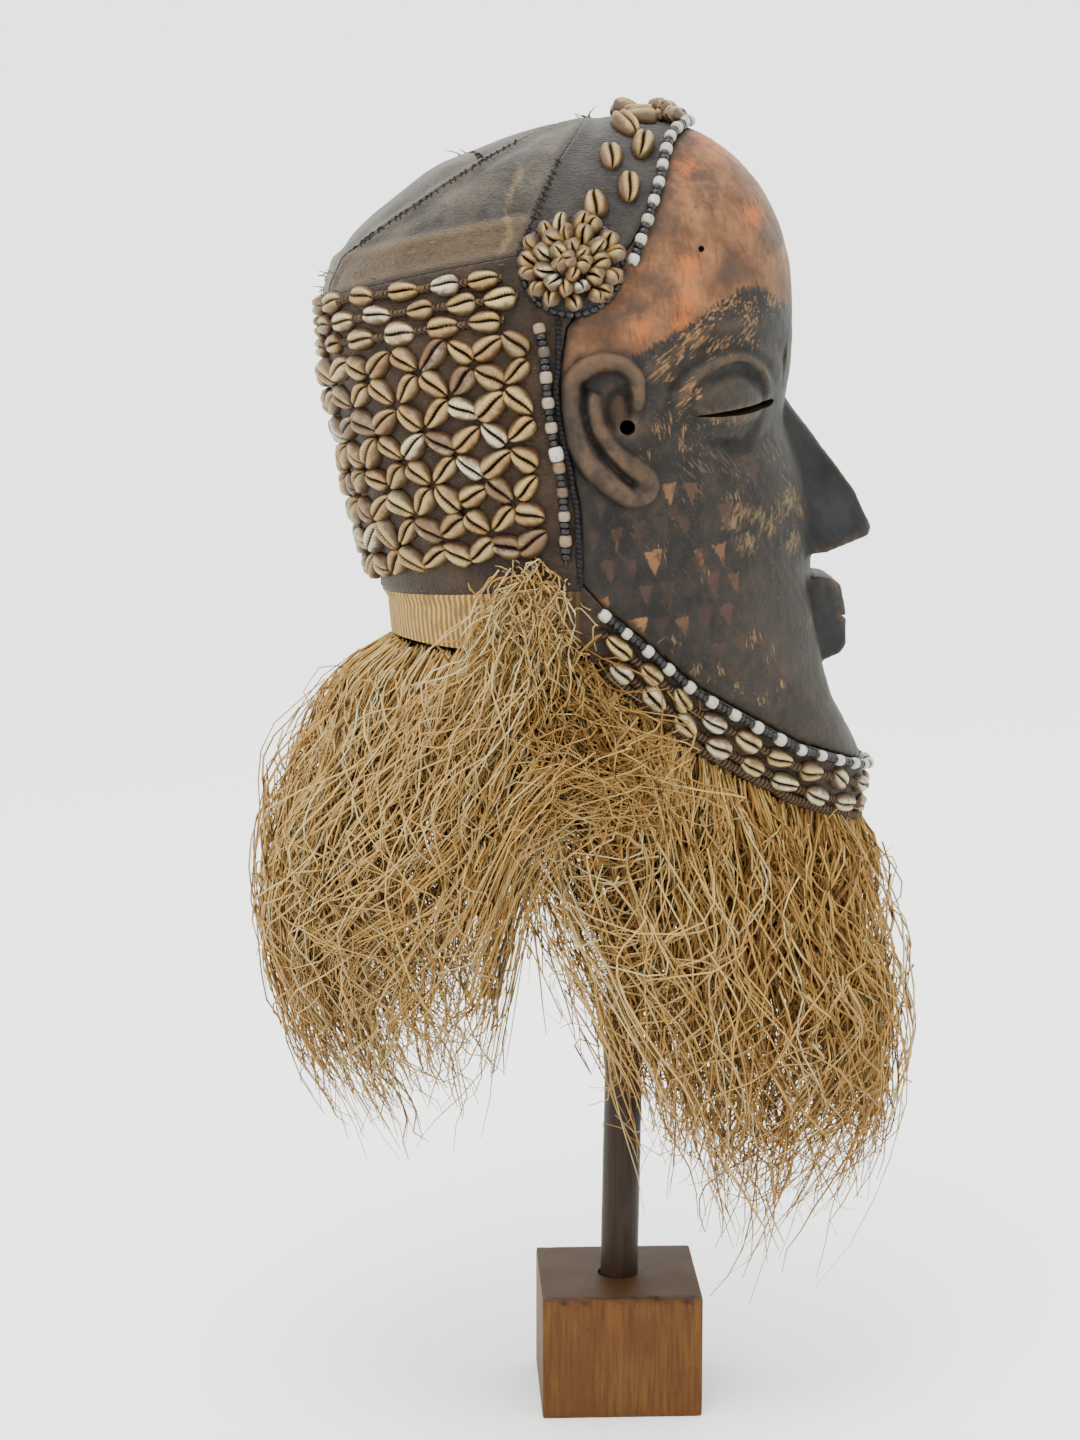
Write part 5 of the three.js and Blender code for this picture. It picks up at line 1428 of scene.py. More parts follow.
brown_cord = cord_finish("twisted_brown_cord", (42, 29, 20), (82, 60, 42), (108, 82, 56), (134, 106, 70))
black_cord = cord_finish("black_edge_cord", (16, 15, 18), (30, 28, 32), (50, 46, 48), (66, 54, 46))
edge_path = np.array([[-34.6, 545], [-34.4, 536], [-34.9, 523], [-35.2, 507], [-32.2, 488], [-28.2, 471],
                      [-26, 455], [-25, 438], [-24.4, 424]])
for hand, label in ((-1, "right"), (1, "left")):
    spot, normal = beside(edge_path[:, 0], edge_path[:, 1], hand)
    cord = twisted_cord(f"edge_cord_{label}", spot, normal, 1.5, 0.9, black_cord, "brown_cloth", 90)
    print(cord.name, "runs between the wood and the hood")

# %% [markdown]
# ## Stitches and frays
# The crown's panels are whipped together with dark thread, so short slanting stitches cross every
# seam. Where the edge of the cloth is cut, single threads have worked loose. Both are too small for
# the CAD model but they tell that this is sewn by hand.

# %% Stitches and frays
stitch_step, stitch_reach = 3.4, 1.6


def stitches(spots, normals, draw):
    """Short slanting threads across a seam that runs through these places."""
    path = smooth_path(spots, 200)
    facing = unit(smooth_path(normals, 200))
    run = np.concatenate([[0], np.cumsum(np.linalg.norm(np.diff(path, axis=0), axis=1))])
    parts = []
    for at in np.arange(2.0, run[-1], stitch_step):
        i = int(np.searchsorted(run, at + draw.normal(0, 0.4)))
        i = min(max(i, 1), len(path) - 2)
        along = unit(path[i + 1] - path[i - 1])
        across = unit(np.cross(facing[i], along)) + along * draw.normal(0.5, 0.25)
        reach = stitch_reach * draw.normal(1, 0.15)
        thread = [path[i] + across * reach * x + facing[i] * h for x, h in ((-1, 0.1), (-0.3, 1.15), (0.4, 1.1), (1, 0.1))]
        parts.append(tube(thread, 0.45, 5))
    return parts


def loose_threads(spot, way, count, length, draw):
    """A few curling thread ends at one place."""
    parts = []
    t = np.linspace(0, 1, 8)[:, None]
    for _ in range(count):
        aim = unit(np.array(way) + 0.7 * draw.normal(size=3))
        curl = draw.normal(0, 0.5, 3) * length
        path = np.array(spot) + 1.5 * draw.normal(size=3) + aim * t * length * draw.uniform(0.5, 1) + curl * t ** 2
        parts.append(tube(path, np.linspace(0.4, 0.16, 8), 4))
    return parts


thread_draw = np.random.default_rng(23)
seam_part, strip_part = np.array(seam_line[1:], float), np.array(strip_line[1:-2], float)
parts = []
for hand in (-1, 1):
    spot, normal = above(seam_part[:4, 0], hand * np.array([22.0, 47, 58, 67]))
    spot, normal = beside(seam_part[1:, 0], seam_part[1:, 1], hand)
    parts += stitches(spot + 0.6 * normal, normal, thread_draw)
    spot, normal = above(strip_part[:, 0], hand * strip_part[:, 1])
    parts += stitches(spot + 0.6 * normal, normal, thread_draw)
patch_end = np.array([[-67.0, 30], [-70, 18], [-73, 6]])
parts += stitches(*(x[0] for x in [[above(patch_end[:, 0], -patch_end[:, 1])[k]] for k in (0, 1)]), thread_draw)
black_thread = cord_finish("dark_sewing_thread", (30, 24, 20), (44, 36, 30), (60, 50, 40), (84, 70, 54))
piece(bundle("crown_stitches", parts), black_thread, "crown_cloth", crease=60)
parts = []
for forward, side, up, count, length in ((-75, 1, 622, 3, 5), (-19, 8, 637, 4, 4), (-125, 38, 563, 3, 4),
                                         (-104, 57, 563, 3, 3), (-60, 79, 570, 3, 3)):
    for hand in (-1, 1):
        spot, normal = beside(forward, up, hand) if side > 30 else above(forward, hand * side)
        parts += loose_threads(spot, normal, count, length, thread_draw)
for turn in (-0.3, -0.12, 0.1, 0.28, 0.5, -0.55):
    for up in (551, 557, 563):
        spot, normal = around(nape_axis, math.pi - turn, up + 3 * turn)
        parts += loose_threads(spot, normal + [0, 0, -0.4], 3, 4.5, thread_draw)
frayed = cord_finish("frayed_cloth_threads", (84, 68, 50), (124, 102, 74), (150, 126, 92), (160, 136, 100))
piece(bundle("frayed_threads", parts), frayed, "crown_cloth", crease=60)

# %% Rows on the back
straight_rows = [(547.6, 12, 71), (538.1, 13, 77), (528.6, 12, 73)]
straight_rise, zigzag_rise, node_half_gap = 12.9, 14.0, 1.5
zigzag_top, zigzag_pitch, zigzag_rows, zigzag_count = 522.2, 13.15, 8, 20
zigzag_reach, zigzag_spread = 80.5, 0.9


def between(ends, normals):
    """The middles, directions and ways of the links between a row's ends."""
    middle, normal = (ends[1:] + ends[:-1]) / 2, unit(normals[1:] + normals[:-1])
    bulge = (np.linalg.norm(ends[1:] - ends[:-1], axis=1) / 2) ** 2 / 180
    return middle + bulge[:, None] * normal, normal, unit(ends[1:] - ends[:-1])


def nape_ends(count, reach, rise, up_at):
    azimuth = math.radians(reach) * (2 * np.arange(count + 1) / count - 1)
    return around(nape_axis, math.pi - azimuth, up_at(np.arange(count + 1)) + rise * np.abs(azimuth))


def shell_row(name, cad, ends, length, width, rise, **how):
    made = lay_shells(name, *between(*ends), length, width, rise, **how)
    return piece(made, shell_finish, "cowrie_shell", cad, crease=60)


for i, (up, count, reach) in enumerate(straight_rows):
    ends = nape_ends(count, reach, straight_rise, lambda k: up + 0 * k)
    shell_row(f"straight_cowries_{i + 1}", f"cowrie_row_{i + 1}", ends, 14.4, 10.6, 5.0, twist=5, pale=0.12)
    twisted_cord(f"straight_cord_{i + 1}", *ends, 1.9, 1.4, brown_cord, "brown_cloth", 70 + i)
for row in range(zigzag_rows):
    top = zigzag_top - row * zigzag_pitch - node_half_gap
    bottom = zigzag_top - (row + 1) * zigzag_pitch + node_half_gap
    ends = nape_ends(zigzag_count, zigzag_reach + zigzag_spread * row, zigzag_rise,
                     lambda k: np.where((k + row) % 2, top, bottom))
    shell_row(f"zigzag_cowries_{row + 1}", f"cowrie_row_{row + 4}", ends, 15.2, 11.2, 5.2, twist=8,
              shape=pointed_shell)


# %% Rows on the chin and crown
chin_axis, chin_reach, upper_count, lower_count = 30.0, 118.5, 19, 18
fine_steps = 240
jaw = np.array(sorted(jaw_line))


def jaw_height(forward):
    """The jaw line's height, carried on past its ends."""
    first = np.where(forward < jaw[0, 0], (jaw[1, 1] - jaw[0, 1]) / (jaw[1, 0] - jaw[0, 0]), 0)
    last = np.where(forward > jaw[-1, 0], (jaw[-1, 1] - jaw[-2, 1]) / (jaw[-1, 0] - jaw[-2, 0]), 0)
    return (np.interp(forward, jaw[:, 0], jaw[:, 1]) + first * (forward - jaw[0, 0])
            + last * (forward - jaw[-1, 0]))


def chin_ends(count, lower):
    """Places at equal steps along the jaw, this much below its line."""
    azimuth = math.radians(chin_reach) * (2 * np.arange(fine_steps + 1) / fine_steps - 1)
    spot, normal = around_line(chin_axis, azimuth, lambda forward: jaw_height(forward) - lower)
    run = np.concatenate([[0], np.cumsum(np.linalg.norm(np.diff(spot, axis=0), axis=1))])
    wanted = run[-1] * np.arange(count + 1) / count
    picked = [np.stack([np.interp(wanted, run, values[:, k]) for k in range(3)], -1) for values in (spot, normal)]
    return picked[0], unit(picked[1])


for label, count, lower, seed in (("upper", upper_count, 12, 80), ("lower", lower_count, 23, 84)):
    ends = chin_ends(count, lower)
    shell_row(f"chin_cowries_{label}_shells", f"chin_cowries_{label}", ends, 13.4, 10.2, 4.8, twist=10, pale=0.84)
    twisted_cord(f"chin_cord_{label}", *chin_ends(3 * count, lower), 2.1, 1.4, brown_cord, "brown_cloth", seed)
for hand, label in ((-1, "right"), (1, "left")):
    spot, normal = chin_ends(48, 29)
    own = hand * spot[:, 0] > -2
    cord = twisted_cord(f"chin_edge_{label}", spot[own], normal[own], 2.6, 1.6, brown_cord, "brown_cloth", 96)
band_spots = [(-16.4, 62.9, 2), (-1.4, 58.8, 20), (-8.6, 48.1, 2), (6.2, 42.3, 4), (-0.5, 29.9, -25)]
crown_heap = np.array([[0, -24], [14, -14], [2, -6], [20, 2], [4, 8], [16, 18], [1, 24]], float)
for hand, side in (("right", -1), ("left", 1)):
    forward, across, lean = np.array(band_spots, float).T
    spots, normals = above(forward, side * across)
    ways = unit(np.cross(normals, [0, side, 0]) + np.tan(np.radians(lean))[:, None] * np.array([0, -1.0, 0]))
    made = lay_shells(f"band_cowries_{hand}_shells", spots, normals, ways, 15, 11.6, 5.6, lift=1.0, twist=6)
    piece(made, shell_finish, "cowrie_shell", f"band_cowries_{hand}", crease=60)
shell_row("crown_cowries_shells", "crown_cowries", above(crown_heap[:, 0], crown_heap[:, 1]), 16, 11.5, 5.6,
          twist=16, pale=0.2)
heap_spots, heap_normals, heap_ways = [], [], []
for count, wide, high, first in ((15, 24.0, 1.0, 0.4), (9, 14.0, 3.6, 1.9)):
    spin = first + np.arange(count) * 2.4
    reach = wide * np.sqrt((np.arange(count) + 0.5) / count)
    spots, normals = above(13 + 0.62 * reach * np.cos(spin), 1.2 * reach * np.sin(spin))
    heap_spots.append(spots + high * normals)
    heap_normals.append(unit(normals + 0.35 * shell_draw.normal(size=normals.shape)))
    heap_ways.append(unit(shell_draw.normal(0, 1, spots.shape) * [1, 1, 0.3]))
spots, normals, ways = np.vstack(heap_spots), np.vstack(heap_normals), np.vstack(heap_ways)
sewn = between(*above(crown_heap[:, 0], crown_heap[:, 1]))[0]
free = np.min(np.linalg.norm(spots[:, None] - sewn, axis=2), 1) > 6.5
spots, normals, ways = spots[free], normals[free], ways[free]
heap = lay_shells("crown_heap_shells", spots, normals, ways, 13.5, 10.6, 5.4, lift=1.0, twist=20, pale=0.5)
piece(heap, shell_finish, "cowrie_shell", crease=60)
print("the crown's heap has", len(spots), "loose shells between the sewn ones")

# %% [markdown]
# ## Rosettes
# Over each temple sits a pompom: thirty small cowries stand up on end from a stuffed dark pad, with
# a ring of dark beads round its rim. The shells are set on a low dome in rings. Each one stands
# steeply in the middle, leans outwards at the rim, and is rolled about its own length at random,
# because the real ones are sewn by one end only.

# %% Rosettes
rosette_forward, rosette_up, rosette_radius, rosette_height = -28.0, 569.0, 23.5, 9.0
petal_rings = [(0.0, 1), (7.0, 6), (13.6, 11), (19.9, 15)]
rim_beads = 30


def rosette_axes(hand):
    spot, normal = beside(rosette_forward, rosette_up, hand)
    first = unit(np.cross([0, 0, 1.0], normal))
    return spot, np.stack([first, np.cross(normal, first), normal])


def dome_height(reach):
    return rosette_height * (1 - 0.75 * (reach / rosette_radius) ** 2)


def pad(hand):
    """The stuffed pad under the shells, as rings from its rim to its middle."""
    spot, axes = rosette_axes(hand)
    reach = np.array([20.5, 22.0, 22.4, 21.0, 17, 12, 6, 0.3])
    lift = np.array([-5.0, -1, 2.0, 4.2, 5.6, 6.8, 7.4, 7.6])
    turn = np.linspace(0, 2 * np.pi, 40, endpoint=False)
    rings = np.stack([reach[:, None] * np.cos(turn), reach[:, None] * np.sin(turn), lift[:, None] + 0 * turn], -1)
    points = rings.reshape(-1, 3) @ axes + spot
    faces = [(r * 40 + i, r * 40 + (i + 1) % 40, (r + 1) * 40 + (i + 1) % 40, (r + 1) * 40 + i)
             for r in range(len(reach) - 1) for i in range(40)]
    faces += [tuple(range(40))[::-1], tuple(range(280, 320))]
    made = make(f"rosette_pad_{'right' if hand < 0 else 'left'}", points, faces)
    spots = points_of(made)
    spread = np.maximum(head_level(spots), 1.012)
    lifted = spots + ((spread - head_level(spots)) * 45)[:, None] * head_normal(spots)
    move_points(made, lifted)
    return made


def petals(hand):
    spot, axes = rosette_axes(hand)
    spots, normals, ways = [], [], []
    for reach, count in petal_rings:
        for i in range(count):
            turn = 2 * math.pi * (i + 0.37 * reach) / count + shell_draw.normal(0, 0.06)
            seat = np.array([math.cos(turn), math.sin(turn), 0])
            stand = math.radians(70 - 1.6 * reach) * shell_draw.normal(1, 0.12)
            swing = shell_draw.normal(0, 0.24)
            way = np.array([math.cos(turn + swing), math.sin(turn + swing), 0])
            point = way * math.cos(stand) + np.array([0, 0, math.sin(stand)])
            face_way = np.array([0, 0, math.cos(stand)]) - way * math.sin(stand)
            roll = math.radians(shell_draw.uniform(-55, 55))
            face_way = face_way * math.cos(roll) + np.cross(point, face_way) * math.sin(roll)
            spots.append((seat * reach + [0, 0, dome_height(reach) + 1.2]) @ axes + spot)
            normals.append(face_way @ axes)
            ways.append(point @ axes)
    name = f"rosette_{'right' if hand < 0 else 'left'}_shells"
    return lay_shells(name, spots, normals, ways, 11.0, 8.8, 4.8, lift=0, twist=5, pale=0.3)


for hand, side in (("right", -1), ("left", 1)):
    piece(petals(side), shell_finish, "cowrie_shell", f"rosette_{hand}", crease=60)


# %% [markdown]
# ## Bead strings
# The light beads are short white glass barrels, and the dark ones between them are smaller. A
# barrel is a ring of points turned round a thread. The string along the wood's edge runs from one
# rosette to the other over the top.

# %% Beads
bead_profile = np.array([[-0.5, 0.55], [-0.42, 0.86], [-0.18, 1.0], [0.18, 1.0], [0.42, 0.86], [0.5, 0.55]])
bead_sides = 12
bead_draw = np.random.default_rng(17)


def bead(spot, way, upward, length, radius):
    side = np.cross(way, upward)
    turn = np.linspace(0, 2 * np.pi, bead_sides, endpoint=False)[:, None]
    ring = np.cos(turn) * side + np.sin(turn) * upward
    points = np.vstack([spot + way * x * length + ring * r * radius for x, r in bead_profile])
    faces = [(k * bead_sides + i, k * bead_sides + (i + 1) % bead_sides,
              (k + 1) * bead_sides + (i + 1) % bead_sides, (k + 1) * bead_sides + i)
             for k in range(len(bead_profile) - 1) for i in range(bead_sides)]
    last = (len(bead_profile) - 1) * bead_sides
    return points, faces + [tuple(range(bead_sides))[::-1], tuple(range(last, last + bead_sides))]


def string_beads(name, corners, pattern, cad=None, closed=False):
    """Beads one after the other along a path. The pattern gives each one's length, width and tone."""
    path = smooth_path(corners, 400)
    run = np.concatenate([[0], np.cumsum(np.linalg.norm(np.diff(path, axis=0), axis=1))])
    at = lambda d: np.array([np.interp(d, run, path[:, k]) for k in range(3)])
    parts, tones = [tube(path[::4], 0.8, 6)], [np.zeros(len(path[::4]) * 6)]
    done, i = 0.0, 0
    while done + pattern[i % len(pattern)][0] < run[-1]:
        length, width, tone = pattern[i % len(pattern)]
        length *= bead_draw.normal(1, 0.05)
        middle = at(done + length / 2)
        way = unit(at(done + length) - at(done) + 0.04 * bead_draw.normal(size=3))
        upward = unit(np.cross(way, [0.3, 0.2, 0.9]))
        parts.append(bead(middle, way, upward, length * 0.97, width / 2 * bead_draw.normal(1, 0.04)))
        tones.append(np.full(len(parts[-1][0]), tone + bead_draw.normal(0, 0.07)))
        done += length
        i += 1
    made = bundle(name, parts)
    note(made, "tone", np.concatenate(tones))
    print(name, "has", i, "beads")
    return piece(made, bead_finish, "beads", *([cad] if cad else []), crease=60)


def glass_finish():
    made, tree, surface = new_finish("old_glass_beads", 0.3, 0.25)
    surface.inputs["Coat Weight"].default_value = 0.08
    surface.inputs["Coat Roughness"].default_value = 0.2
    blotch = grain(tree, 1.8, detail=4)
    colour = shades(tree, noted(tree, "tone"), (0.1, (28, 26, 30)), (0.3, (44, 44, 54)), (0.5, (150, 120, 88)),
                    (0.72, (196, 182, 156)), (0.95, (226, 222, 210)))
    colour = coat(tree, colour, (108, 84, 64), sums(tree, "MULTIPLY", step_up(tree, blotch, 0.54, 0.7), 0.6))
    connect(tree, surface, Base_Color=colour, Normal=relief(tree, blotch, 0.12),
            Roughness=span(tree, blotch, 0.22, 0.5))
    return made


bead_finish = glass_finish()
light_dark = [(4.8, 5.8, 0.92), (3.0, 4.9, 0.12), (2.7, 4.7, 0.1)]
hair_half = np.array([[-1, 75], [4, 70], [9, 63], [13, 55], [16, 45], [20, 33], [27, 17]], float)
hair_top = np.array([[31.0, 0]])
hair_path = np.vstack([hair_half * [1, -1], hair_top, hair_half[::-1]])
spot, normal = above(hair_path[:, 0], hair_path[:, 1])
string_beads("hairline_bead_string", spot + 3.3 * normal, light_dark, "hairline_beads")
side_path = np.array([[-43.5, 543], [-41, 530], [-39.5, 510], [-37, 492], [-33.5, 475], [-31.5, 455],
                      [-30.5, 432]])
tan_dark = [(5.4, 5.9, 0.54), (3.0, 5.1, 0.1), (3.0, 4.9, 0.12)]
side_pattern = tan_dark * 5 + [(7.0, 7.0, 0.93)] + tan_dark * 7
for hand, side in (("right", -1), ("left", 1)):
    spot, normal = beside(side_path[:, 0], side_path[:, 1], side)
    string_beads(f"side_bead_string_{hand}", spot + 3.2 * normal, side_pattern, f"side_beads_{hand}")
spot, normal = chin_ends(60, 2.4)
white_dark = [(5.2, 5.6, 0.97), (2.8, 4.3, 0.1), (2.8, 4.1, 0.14), (2.8, 4.3, 0.1)]
string_beads("chin_bead_string", spot + 3.3 * normal, white_dark, "chin_beads")


# %% Dark pads and rim beads of the rosettes
def pad_finish():
    made, tree, surface = new_finish("blue_black_pad", 0.8, 0.3)
    blotch = grain(tree, 3, detail=5)
    thread = cells(tree, 1.2)
    colour = shades(tree, blotch, (0.35, (20, 21, 27)), (0.5, (30, 30, 37)), (0.68, (54, 45, 42)))
    connect(tree, surface, Base_Color=colour, Normal=relief(tree, thread, 0.5))
    return made


pad_cloth = pad_finish()
for hand, side in (("right", -1), ("left", 1)):
    piece(pad(side), pad_cloth, "beads", crease=60)
    spot, axes = rosette_axes(side)
    turn = np.linspace(0, 2 * np.pi, 40)
    ring = np.stack([22.6 * np.cos(turn), 22.6 * np.sin(turn), 0 * turn + 0.5], -1) @ axes + spot
    outward = head_normal(ring)
    for _ in range(12):
        ring += np.clip(1.045 - head_level(ring), -0.05, 0.2)[:, None] * 40 * outward
    string_beads(f"rosette_rim_beads_{hand}", ring, [(3.6, 4.2, 0.1), (3.6, 4.2, 0.14), (3.6, 4.0, 0.3)])

# %% [markdown]
# ## Raffia
# Raffia is strips of palm leaf that curl as they dry. The fringe is thousands of them, sewn into
# the lower seams. Each strip here is a thin three-sided tube, and all the strips of one kind are
# worked out at once. A fringe has four kinds: a plain core that fills its depth, painted darker as
# the shade inside the mass, a wavy coat that gathers into locks, loose strays that stand off the
# outline, and curled tips below. The deeper a strip lies, the darker it is painted, as shade.

# %% Raffia helpers
def strips(path, radius, tone, inner):
    """Points, faces and marks of three-sided tubes along many paths: strips, stations, places."""
    count, stations = path.shape[:2]
    along = unit(np.gradient(path, axis=1))
    side = unit(np.cross(along, np.array([0.31, 0.17, 0.93])))
    upward = np.cross(side, along)
    taper = np.interp(np.linspace(0, 1, stations), [0, 0.8, 1], [1, 0.85, 0.35])
    width = (radius[:, None] * taper)[..., None]
    corners = []
    for turn, flat in ((0.2, 1.0), (2.3, 0.75), (4.2, 0.75)):
        corners.append(path + width * flat * (math.cos(turn) * side + math.sin(turn) * upward))
    points = np.stack(corners, 2).reshape(-1, 3)
    base = (np.arange(count)[:, None, None] * stations + np.arange(stations - 1)[:, None]) * 3
    k = np.arange(3)
    a, b = base + k, base + (k + 1) % 3
    faces = np.stack([a, b, b + 3, a + 3], -1).reshape(-1, 4)
    share = np.tile(np.repeat(np.linspace(0, 1, stations), 3), count)
    marks = [np.repeat(tone, stations * 3), np.repeat(inner, stations * 3), share]
    return points, faces, np.stack(marks, -1)


def raffia_piece(name, kinds, cad):
    """One dressed mesh from several kinds of strips."""
    starts = np.cumsum([0] + [len(points) for points, _, _ in kinds[:-1]])
    made = make(name, np.vstack([points for points, _, _ in kinds]),
                np.vstack([faces + start for (_, faces, _), start in zip(kinds, starts)]))
    marks = np.vstack([marks for _, _, marks in kinds])
    for label, values in zip(("tone", "inner", "share"), marks.T):
        note(made, label, values)
    return piece(made, dry_raffia, "raffia", *cad)


def raffia_finish():
    made, tree, surface = new_finish("dry_raffia", 0.6, 0.25)
    blotch = grain(tree, 14, detail=4)
    fine = grain(tree, 1.4, stretch=(1, 1, 4), detail=3, shift=3.0)
    tone = sums(tree, "ADD", noted(tree, "tone"), sums(tree, "MULTIPLY", sums(tree, "SUBTRACT", blotch, 0.5), 0.4))
    colour = shades(tree, tone, (0.0, (134, 88, 38)), (0.25, (192, 138, 62)), (0.55, (232, 182, 98)),
                    (0.85, (255, 216, 140)), (1.0, (255, 242, 188)))
    # Painted shade: strips deep in the fringe, and the darker kinds, turn dark brown.
    colour = coat(tree, colour, (118, 78, 36), sums(tree, "MULTIPLY", noted(tree, "inner"), 0.75))
    colour = coat(tree, colour, (150, 106, 58), sums(tree, "MULTIPLY", step_up(tree, fine, 0.55, 0.75), 0.35))
    colour = coat(tree, colour, (172, 116, 56), sums(tree, "MULTIPLY", noted(tree, "share"), 0.4))
    connect(tree, surface, Base_Color=colour, Normal=relief(tree, fine, 0.12))
    return made


dry_raffia = raffia_finish()
print("raffia helpers are ready")

# %% Fringes
nape_swing = np.array([[0, 0], [12, 17], [24, 27], [42, 37], [62, 46], [84, 54], [110, 59], [150, 58],
                       [190, 51], [245, 32]], float)
beard_swing = np.array([[0, 0], [25, 9], [50, 13], [75, 16], [100, 20], [150, 22], [200, 12]], float)
nape_bottom = np.array([[0, 170], [0.58, 178], [0.9, 186], [1.1, 190], [1.2, 194], [1.3, 224],
                        [1.4, 266], [1.55, 290], [2.0, 300]])
beard_bottom = np.array([[0, 130], [0.4, 122], [0.84, 118], [1.2, 126], [1.45, 134], [1.75, 146],
                         [1.95, 164], [2.15, 196], [2.3, 240]])
lock_width, lock_kinds = 15.0, 64
widest_turn = 2.3


def neck_root(forward):
    line = np.array(neck_lower_line, float)
    return np.interp(forward + neck_band_slope, line[:, 0], line[:, 1]) - 2


def chin_root(forward):
    return jaw_height(forward) - np.where(forward > chin_front_start, chin_band_front_depth, chin_band_depth) - 2


def held_in(path):
    """Eases strips that would wave out of the mask's box back to it."""
    own = 10 * np.sin(37.0 * path[:, :1].sum(-1))
    for k, start, room in ((0, 102, 14), (0, -102, 14), (1, 162, 15), (1, -128, 14)):
        way = np.sign(start)
        over = np.maximum(way * path[..., k] - abs(start) - own, 0)
        path[..., k] -= way * (over - room * (1 - np.exp(-over / room)))
    return path


def curtain(axis_forward, facing, root_at, bottom, swing, thickness):
    """The fringe's own shape: a function from angle, drop share and depth to a place."""
    turns = np.linspace(-widest_turn, widest_turn, 231)
    root, _ = around_line(axis_forward, facing + turns, root_at)
    root_reach = np.hypot(root[:, 0], root[:, 1] + axis_forward)

    def at(turn, share, depth, outward=0.0, lift=0.0):
        top = np.interp(turn, turns, root[:, 2])
        low = np.interp(np.abs(turn), bottom[:, 0], bottom[:, 1]) + 5
        drop = (top - low) * share
        to_side = 0.4 + 0.6 * np.cos(turn / 2) ** 4
        swell = np.interp(drop, swing[:, 0], swing[:, 1]) * to_side
        thick = 5 + (thickness - 5) * np.clip(3 * share, 0, 1)
        reach = np.interp(turn, turns, root_reach) + swell - depth * thick + outward
        way = facing + turn
        up = np.minimum(top - drop + lift, top)
        return held_in(np.stack([reach * np.sin(way), -axis_forward - reach * np.cos(way), up], -1))

    return at, float(root_reach.mean())


def waves(draw, count, t, size, slow, fast):
    """A wave for each strip, of a random strength, and with between slow and fast turns."""
    strength = draw.uniform(0.25, 1, count)[:, None] * size
    turns = draw.uniform(slow, fast, count)[:, None] * t + draw.random(count)[:, None]
    return strength * np.sin(2 * np.pi * turns)


def lock_waves(lock, share, size, slow, fast, seed):
    """One long wave for each lock, the same for all of its strips."""
    draw = np.random.default_rng(seed)
    strength, turns, start = draw.uniform(0.4, 1, lock_kinds), draw.uniform(slow, fast, lock_kinds), draw.random(lock_kinds)
    own = np.mod(lock.astype(int), lock_kinds)
    return size * strength[own] * np.sin(2 * np.pi * (turns[own] * share + start[own]))


def fringe_kind(draw, shape, mean_reach, reach, count, stations, first, last, depth, wave, curl, radius, sweep,
                gather, bulge=0.0, dark=0.0, cross=8.0):
    """Strips of one kind. Lengths of first, last and depth are ranges to draw from."""
    at = shape
    turn = reach * draw.uniform(-1, 1, count)[:, None]
    t = np.linspace(0, 1, stations)[None]
    begin, end = draw.uniform(*first, count)[:, None], draw.normal(*last, count)[:, None]
    share = begin + (end - begin) * t
    deep = draw.uniform(*depth, count)[:, None] * np.ones_like(t)
    loose = np.minimum(1, 5.0 * share)
    drift = (sweep(turn, draw) + draw.normal(0, cross, turn.shape)) * np.clip(share, 0, 1.2) ** 1.15
    lock_turn = lock_width / mean_reach
    lock = np.round(turn / lock_turn)
    pull = gather * ((lock + 0.3 * np.sin(91 * lock)) * lock_turn - turn) * np.sin(np.pi * np.clip(share, 0, 1) * 0.8)
    shared = lock_waves(lock, share, wave * 0.8, 0.5, 1.3, 5) * loose
    own = (waves(draw, count, t, wave * 0.75, 0.5, 1.4) + waves(draw, count, t, wave * 0.5, 1.6, 3.2)) * loose
    sideways = drift + shared + own
    outward = (waves(draw, count, t, wave * 0.4, 0.5, 1.5) + waves(draw, count, t, wave * 0.35, 1.6, 3.2)) * loose
    outward += lock_waves(lock, share, 4.0, 0.4, 1.0, 6) * loose
    outward += bulge * draw.uniform(0, 1, count)[:, None] ** 2 * np.sin(np.pi * np.clip(share, 0, 1))
    spin = 2 * np.pi * (draw.uniform(0.5, 1.3, count)[:, None] * t + draw.random(count)[:, None])
    ring = curl * draw.uniform(0.2, 1, count)[:, None] * t ** 1.8
    sideways += ring * np.sin(spin)
    lift = ring * np.cos(spin) + 0.4 * ring
    outward += 0.5 * ring * np.sin(spin + 1)
    turn_now = np.clip(turn + pull + sideways / mean_reach, -widest_turn, widest_turn)
    path = at(turn_now, share, deep, outward, lift)
    # Strips lying deeper, and kinds given dark, are painted darker: shade inside the fringe.
    tone = np.clip(draw.normal(0.55, 0.2, count) + 0.14 * np.sin(57 * lock[:, 0]) - dark, 0, 1)
    return path, draw.uniform(*radius, count), tone, np.clip(deep[:, 0] + dark, 0, 1)


def fringe(name, cad, seed, shape, reach, kinds):
    """A curtain of strips round an upright axis, as one piece for each side of the head."""
    draw = np.random.default_rng(seed)
    at, mean_reach = shape
    drawn = [fringe_kind(draw, at, mean_reach, math.radians(reach), **kind) for kind in kinds]
    for hand, label in ((-1, "right"), (1, "left")):
        parts = []
        for path, radius, tone, inner in drawn:
            own = np.sign(path[:, 0, 0]) == hand
            parts.append(strips(path[own], radius[own], tone[own], inner[own]))
        raffia_piece(f"{name}_{label}", parts, [cad])


def nape_sweep(turn, draw):
    """Strips that start near the side tufts drift sideways, either way at random."""
    side_share = np.clip((np.abs(turn) - 0.35) / 0.9, 0, 1)
    return -np.sign(turn) * side_share * draw.uniform(-30, 30, turn.shape)


